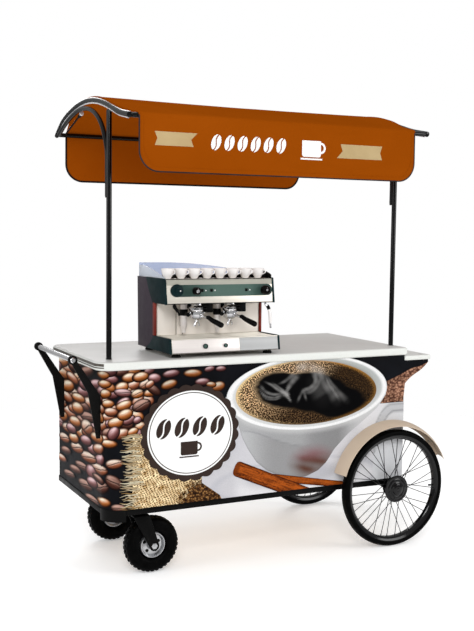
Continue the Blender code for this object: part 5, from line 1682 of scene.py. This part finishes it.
def build_group(side, x):
    """One brewing group: chrome bell, black collar and the portafilter locked in it."""
    centre = Vector((x, GROUP_Y, 0))

    def box(low, high, edge, segments=2):
        return block(*((x + a, GROUP_Y + b, c) for a, b, c in (low, high)), edge, segments)

    bell = [(0.0001, HOOD_Z - 0.0003), (0.028, HOOD_Z - 0.0003),
            *mm(28, 1266, 29.5, 1262.5, 34, 1258.5, 36.2, 1255.5, 36.2, 1242, 34.5, 1238.5,
                31, 1236.2, 0.1, 1236.2)]
    piece(f"group_bell_{side}", [turned(bell, centre, "Z", 48)], "chrome",
          f"group_head_{side}")
    neck = box((-0.024, 0.022, HOOD_Z - 0.032), (0.024, SPLASH_Y - 0.002 - GROUP_Y, HOOD_Z - 0.0005),
               0.005, 3)
    piece(f"group_neck_{side}", [neck], "green")
    piece(f"group_valve_{side}",
          [box((0.036, -0.030, 1.2320), (0.074, 0.028, HOOD_Z - 0.0005), 0.004, 3),
           *(box((-0.028, -0.036, z), (0.040, -0.030, z + 0.006), 0.0012) for z in (1.2470, 1.2600))],
          "satin_black")
    drain = Vector((x - DRAIN[0], GROUP_Y + DRAIN[1], 0))
    pipe = smooth_path([(drain.x, drain.y, z) for z in (HOOD_Z - 0.001, 1.245, 1.165, 1.132)], 6)
    piece(f"drain_pipe_{side}",
          [tube(pipe, [0.0170 - 0.006 * ease(1.170, 1.140, p.z) for p in pipe], 24)],
          "pale_steel_and_highlight")
    collar = mm(17.2, 1246, 20, 1243, 20, 1218, 17.2, 1215)
    rod = ((drain.x, GROUP_Y + 0.012, 1.228), (drain.x, GROUP_Y - 0.020, 1.222))
    piece(f"drain_collar_{side}", [turned(collar, drain, "Z", 28, True),
                                   tube(rod, [0.0085, 0.0095], 16)], "satin_black")

    swing = radians(28)
    way, across = Vector((sin(swing), -cos(swing), 0)), Vector((cos(swing), sin(swing), 0))

    def place(forward, sideways, z):
        return centre + Vector((0, 0, z)) + way * forward + across * sideways

    bowl = mm(0.1, 1196, 20, 1196.5, 24.5, 1199, 31, 1205, 32.5, 1220, 33.5, 1224, 33.5, 1234.5,
              32.2, 1235.6, 0.1, 1235.6)
    start = place(0.062, 0, 1.210)
    neck = tube((place(0.026, 0, 1.216), start), [0.0085, 0.0070], 18)
    spouts = [tube(smooth_path([place(0, s * step, z) for step, z in
                                mm(0, 1200, 6, 1190, 14, 1178, 16.5, 1166)], 5), 0.0058, 16)
              for s in (-1, 1)]
    ears = [box((s * 0.036 - 0.004, -0.006, 1.2260), (s * 0.036 + 0.004, 0.006, 1.2335), 0.0015)
            for s in (-1, 1)]
    piece(f"filter_bowl_{side}", [turned(bowl, centre, "Z", 48), neck, *spouts, *ears], "chrome",
          f"portafilter_{side}", f"filter_{side}")
    line = [start + way * forward - Vector((0, 0, drop)) for forward, drop in
            mm(2, 0, 12, 0, 30, 10, 60, 21, 85, 30, 93, 33, 94.5, 33.6)]
    radii = [0.0082, 0.0098, 0.0112, 0.0128, 0.0134, 0.0108, 0.006]
    steps = 5
    fine_line = smooth_path(line, steps)
    fine_radii = [reading(list(enumerate(radii)), i / steps) for i in range(len(fine_line))]
    piece(f"filter_grip_{side}", [tube(fine_line, fine_radii, 28)], "satin_black",
          f"portafilter_{side}", f"filter_{side}")


def build_wands():
    """Steam wands: a short black-tipped one at the left, a chrome one with a pale grip."""
    top = HOOD_Z * 1000 - 1      # in millimetres
    left, right = (smooth_path(mm3(*line), 6) for line in (
        (-450, -285, top, -450, -285, 1262, -436, -290, 1244, -428, -293, 1222),
        (35, -285, top, 35, -285, 1268, 39, -285, 1262, 52, -286, 1250, 60, -288, 1215,
         63, -292, 1148)))
    cut, low_cut = len(left) * 2 // 3, len(right) * 2 // 3
    for name, look, slot, replaces, *tubes in (
            ("wand_tube_left", "satin_black", "chrome", "steam_wand_left",
             (left[:cut + 1], 0.0055, 16), (left[cut:], 0.0045, 14)),
            ("wand_sleeve_left", "satin_black", BLACK, None, (left[2:cut + 2], 0.0082, 18)),
            ("wand_tube_right", "chrome", "chrome", "steam_wand_right", (right, 0.0052, 16)),
            ("wand_sleeve_right", "satin_black", BLACK, None,
             (right[low_cut - 5:low_cut + 1], 0.0085, 18)),
            ("wand_grip_right", "china", BLACK, None, (right[low_cut:-2], 0.0078, 18))):
        piece(name, [tube(*rod) for rod in tubes], look, replaces,
              "wand_" + name.split("_")[-1])


def build_controls():
    """Ribbed steam knobs with bright tips, and the square push buttons."""
    face, points = -0.3062, 56
    for side, x, big, wide in (("left", KNOB_X[0], 1.05, 1.5), ("right", KNOB_X[1], 1.25, 1.0)):
        line = ((0.0095, 0.0), (0.0100, -0.0075), (0.0150 * big, -0.0095), (0.0178 * big, -0.0130),
                (0.0172 * big, -0.0360), (0.0150 * big, -0.0400), (0.0080, -0.0405))
        sections = []
        for k in range(points):
            t, dent = 2 * pi * k / points, 0.0010 * (k % 4 == 0)
            rib = [(r - dent * (r > 0.014), along) for r, along in line]
            sections.append([(x + r * cos(t), face + along, CONTROL_Z + r * sin(t))
                             for r, along in rib])
        knob = skin(sections, closed=True)
        bmesh.ops.holes_fill(knob, edges=[e for e in knob.edges if e.is_boundary], sides=0)
        piece(f"knob_grip_{side}", [knob], "satin_black", f"steam_knob_{side}", f"knob_{side}")
        tip = ((0.0001, -0.0420), (0.0048 * wide, -0.0418), (0.0060 * wide, -0.0400),
               (0.0060 * wide, -0.0385))
        pointer = block((x - 0.0012, face - 0.0415, CONTROL_Z + 0.008),
                        (x + 0.0012, face - 0.0395, CONTROL_Z + 0.0135), 0.0004, 1)
        piece(f"knob_tip_{side}", [turned(tip, (x, face, CONTROL_Z), "Y", 28), pointer], "chrome",
              body=f"knob_{side}")
    for number, x in enumerate(BUTTON_X, 1):
        node = f"brew_button_{number}"
        piece(f"button_cap_{number}", [block(*box_of(node), 0.0016, 3)], "satin_black", node,
              f"button_{number}")
        rim = [block((x - 0.0078, fascia_y(CONTROL_Z, 0.0022), z - 0.0007),
                     (x + 0.0078, fascia_y(CONTROL_Z, 0.0002), z + 0.0007), 0.0003, 1)
               for z in (CONTROL_Z - 0.0072, CONTROL_Z + 0.0072)]
        piece(f"button_frame_{number}", rim, "matte_black")


def build_cup_rail():
    """Arched clear rail on the machine's top, and the row of cups in front of it."""
    x0, x1 = MACHINE_X[0] + 0.004, MACHINE_X[1] - 0.004
    z0 = TOP_Z + 0.0005
    tall, low_end, steps = box_of("cup_rail")[1].z - z0, 0.016, 20
    back = [(x0, z0), (x1, z0)]
    for t in (k / steps for k in range(steps + 1)):
        rise = low_end + (tall - low_end) * sin(pi * (0.12 + 0.88 * min(1.0, t * 1.25)) / 2)
        back.append((x1 + (x0 - x1) * t, z0 + min(rise, tall)))
    side = [(-0.285, z0), (0.0495, z0), (0.0495, z0 + 0.057),
            *((-0.010 - 0.275 * t, z0 + 0.056 - 0.052 * t ** 1.35) for t in (k / 8 for k in range(9)))]
    end = [(-0.285, z0), *((-0.285 + 0.235 * t, z0 + 0.034 * sin(pi * min(1, 0.1 + t)) ** 0.6)
                           for t in (k / 10 for k in range(9))), (-0.06, z0)]
    piece("cup_guard_back", [prism(back, "Y", 0.0455, 0.0495, 0.0012)], "acrylic",
          "cup_rail")
    piece("cup_guard_side", [prism(side, "X", x0, x0 + 0.004, 0.0012)], "clear",
          "cup_rail")
    piece("cup_shelf_bar", [block((x0 + 0.012, -0.232, z0 + 0.001), (x1 - 0.014, -0.222, z0 + 0.020),
                                  0.002)], "matte_black")
    piece("rail_end_cheek", [prism(end, "X", x1 - 0.008, x1 + 0.002, 0.002)], "satin_black")
    cup = mm(0.1, 0, 15, 0, 15.5, 2, 17, 4, 23, 15, 28.5, 30, 30.5, 42, 31, 47, 30, 47.5, 29, 42,
             26, 28, 18, 10, 0.1, 8)
    cups = []
    for k in range(8):
        place = Vector((-0.473 + 0.480 * k / 7, -0.252, z0))
        turn = radians(-62 + 5 * (k % 3))
        out = Vector((cos(turn), sin(turn), 0))
        grip = smooth_path([place + Vector((0, 0, z)) + out * reach for reach, z in
                            mm(27, 38, 40, 40, 43, 28, 25, 18)], 4)
        cups += [turned(cup, place, "Z", 32), tube(grip, 0.0026, 10)]
    plain_cup = mm(0.1, 0, 16, 0, 24, 15, 30, 40, 30.5, 45, 29, 42, 20, 10, 0.1, 8)
    piece("cups_front_row", cups, "china")
    piece("cups_back_row", [turned(plain_cup, (-0.430 + 0.068 * k, -0.165, z0), "Z", 28)
                            for k in range(7)], "china")


# ---------------------------------------------------------------- frame, doors and inside
def build_carcass():
    """Materials for the structure that keeps its CAD mesh, and the doors' small parts."""
    refinish("satin_black", "base_frame", "axle")
    refinish("frame_steel", *(f"{bar}_{depth}{side}" for depth, _ in DEPTHS for bar, side in
                              (("top_rail", ""), ("upright", "_left"), ("upright", "_right"))))
    refinish("plywood", "floor_panel", "inner_shelf")
    refinish("door", "right_end_panel", "back_door_left", "back_door_right")
    low, high = box_of("back_door_left")
    edge = block((high.x - 0.016, 0.3735, low.z + 0.002), (high.x - 0.0005, 0.3757, high.z - 0.002),
                 0.0007)
    piece("door_edge_left", [edge], "zinc", body="door_left")
    lock = turned(mm(0.1, 4.6, 8.5, 4.4, 10, 3, 10, 0), (high.x - 0.040, 0.3738, 0.790), "Y", 28)
    piece("door_lock_left", [lock], "chrome", body="door_left")
    slit = block((high.x - 0.0412, 0.3780, 0.7855), (high.x - 0.0388, 0.3787, 0.7945), 0.0002, 1)
    piece("door_keyhole_left", [slit], "matte_black", body="door_left")
    top = PRINT_Z[0]
    bend = arc(CORNER, CORNER_R + 0.0030, 180, 270, 28) + arc(CORNER, CORNER_R + 0.0004, 270, 180, 28)
    piece("bottom_angle",
          [block((-0.724, FRONT_Y - 0.0030, top - 0.0275), (BODY_X, FRONT_Y + 0.0005, top), 0.0015),
           prism(bend, "Z", box_of("base_frame")[0].z, top),
           block((-BODY_X - 0.0030, CORNER.y, top - 0.0275), (-BODY_X - 0.0002, 0.379, top), 0.0015)],
          "satin_black")
    axle, reach = middle_of("axle"), box_of("axle")[1].y - 0.006
    nut = mm(0.1, 6, 4, 5.8, 8.5, 3, 9.2, 0)
    piece("axle_nuts", [turned(scaled(nut, sign), (axle.x, sign * reach, axle.z), "Y", 24)
                        for sign in (-1, 1)], "zinc")


plain_looks()
cloth_look()
print_look()
burlap_look()
granular_look("coffee_grounds", (40, 24, 14), (98, 64, 34), (178, 134, 80), 95.0, True)
granular_look("sack", (82, 52, 42), (156, 112, 90), (200, 156, 128), 76.0)
acrylic_look("acrylic", (172, 190, 226), (192, 207, 238))
acrylic_look("clear", (212, 220, 232), (228, 234, 242))
strip_look()
counter_look()
plywood_look()
set_camera()
set_studio()
build_carcass()
build_print()
build_counter()
build_handle()
for depth_name, outward in DEPTHS:
    build_wheel(depth_name, outward)
    build_mudguard(depth_name, outward)
    build_caster(depth_name)
build_posts()
build_canopy()
build_flap_marks()
build_machine_body()
build_machine_sides()
build_machine_marks()
build_tray()
for side_name, group_x in zip(("left", "right"), GROUP_X):
    build_group(side_name, group_x)
build_wands()
build_controls()
build_cup_rail()
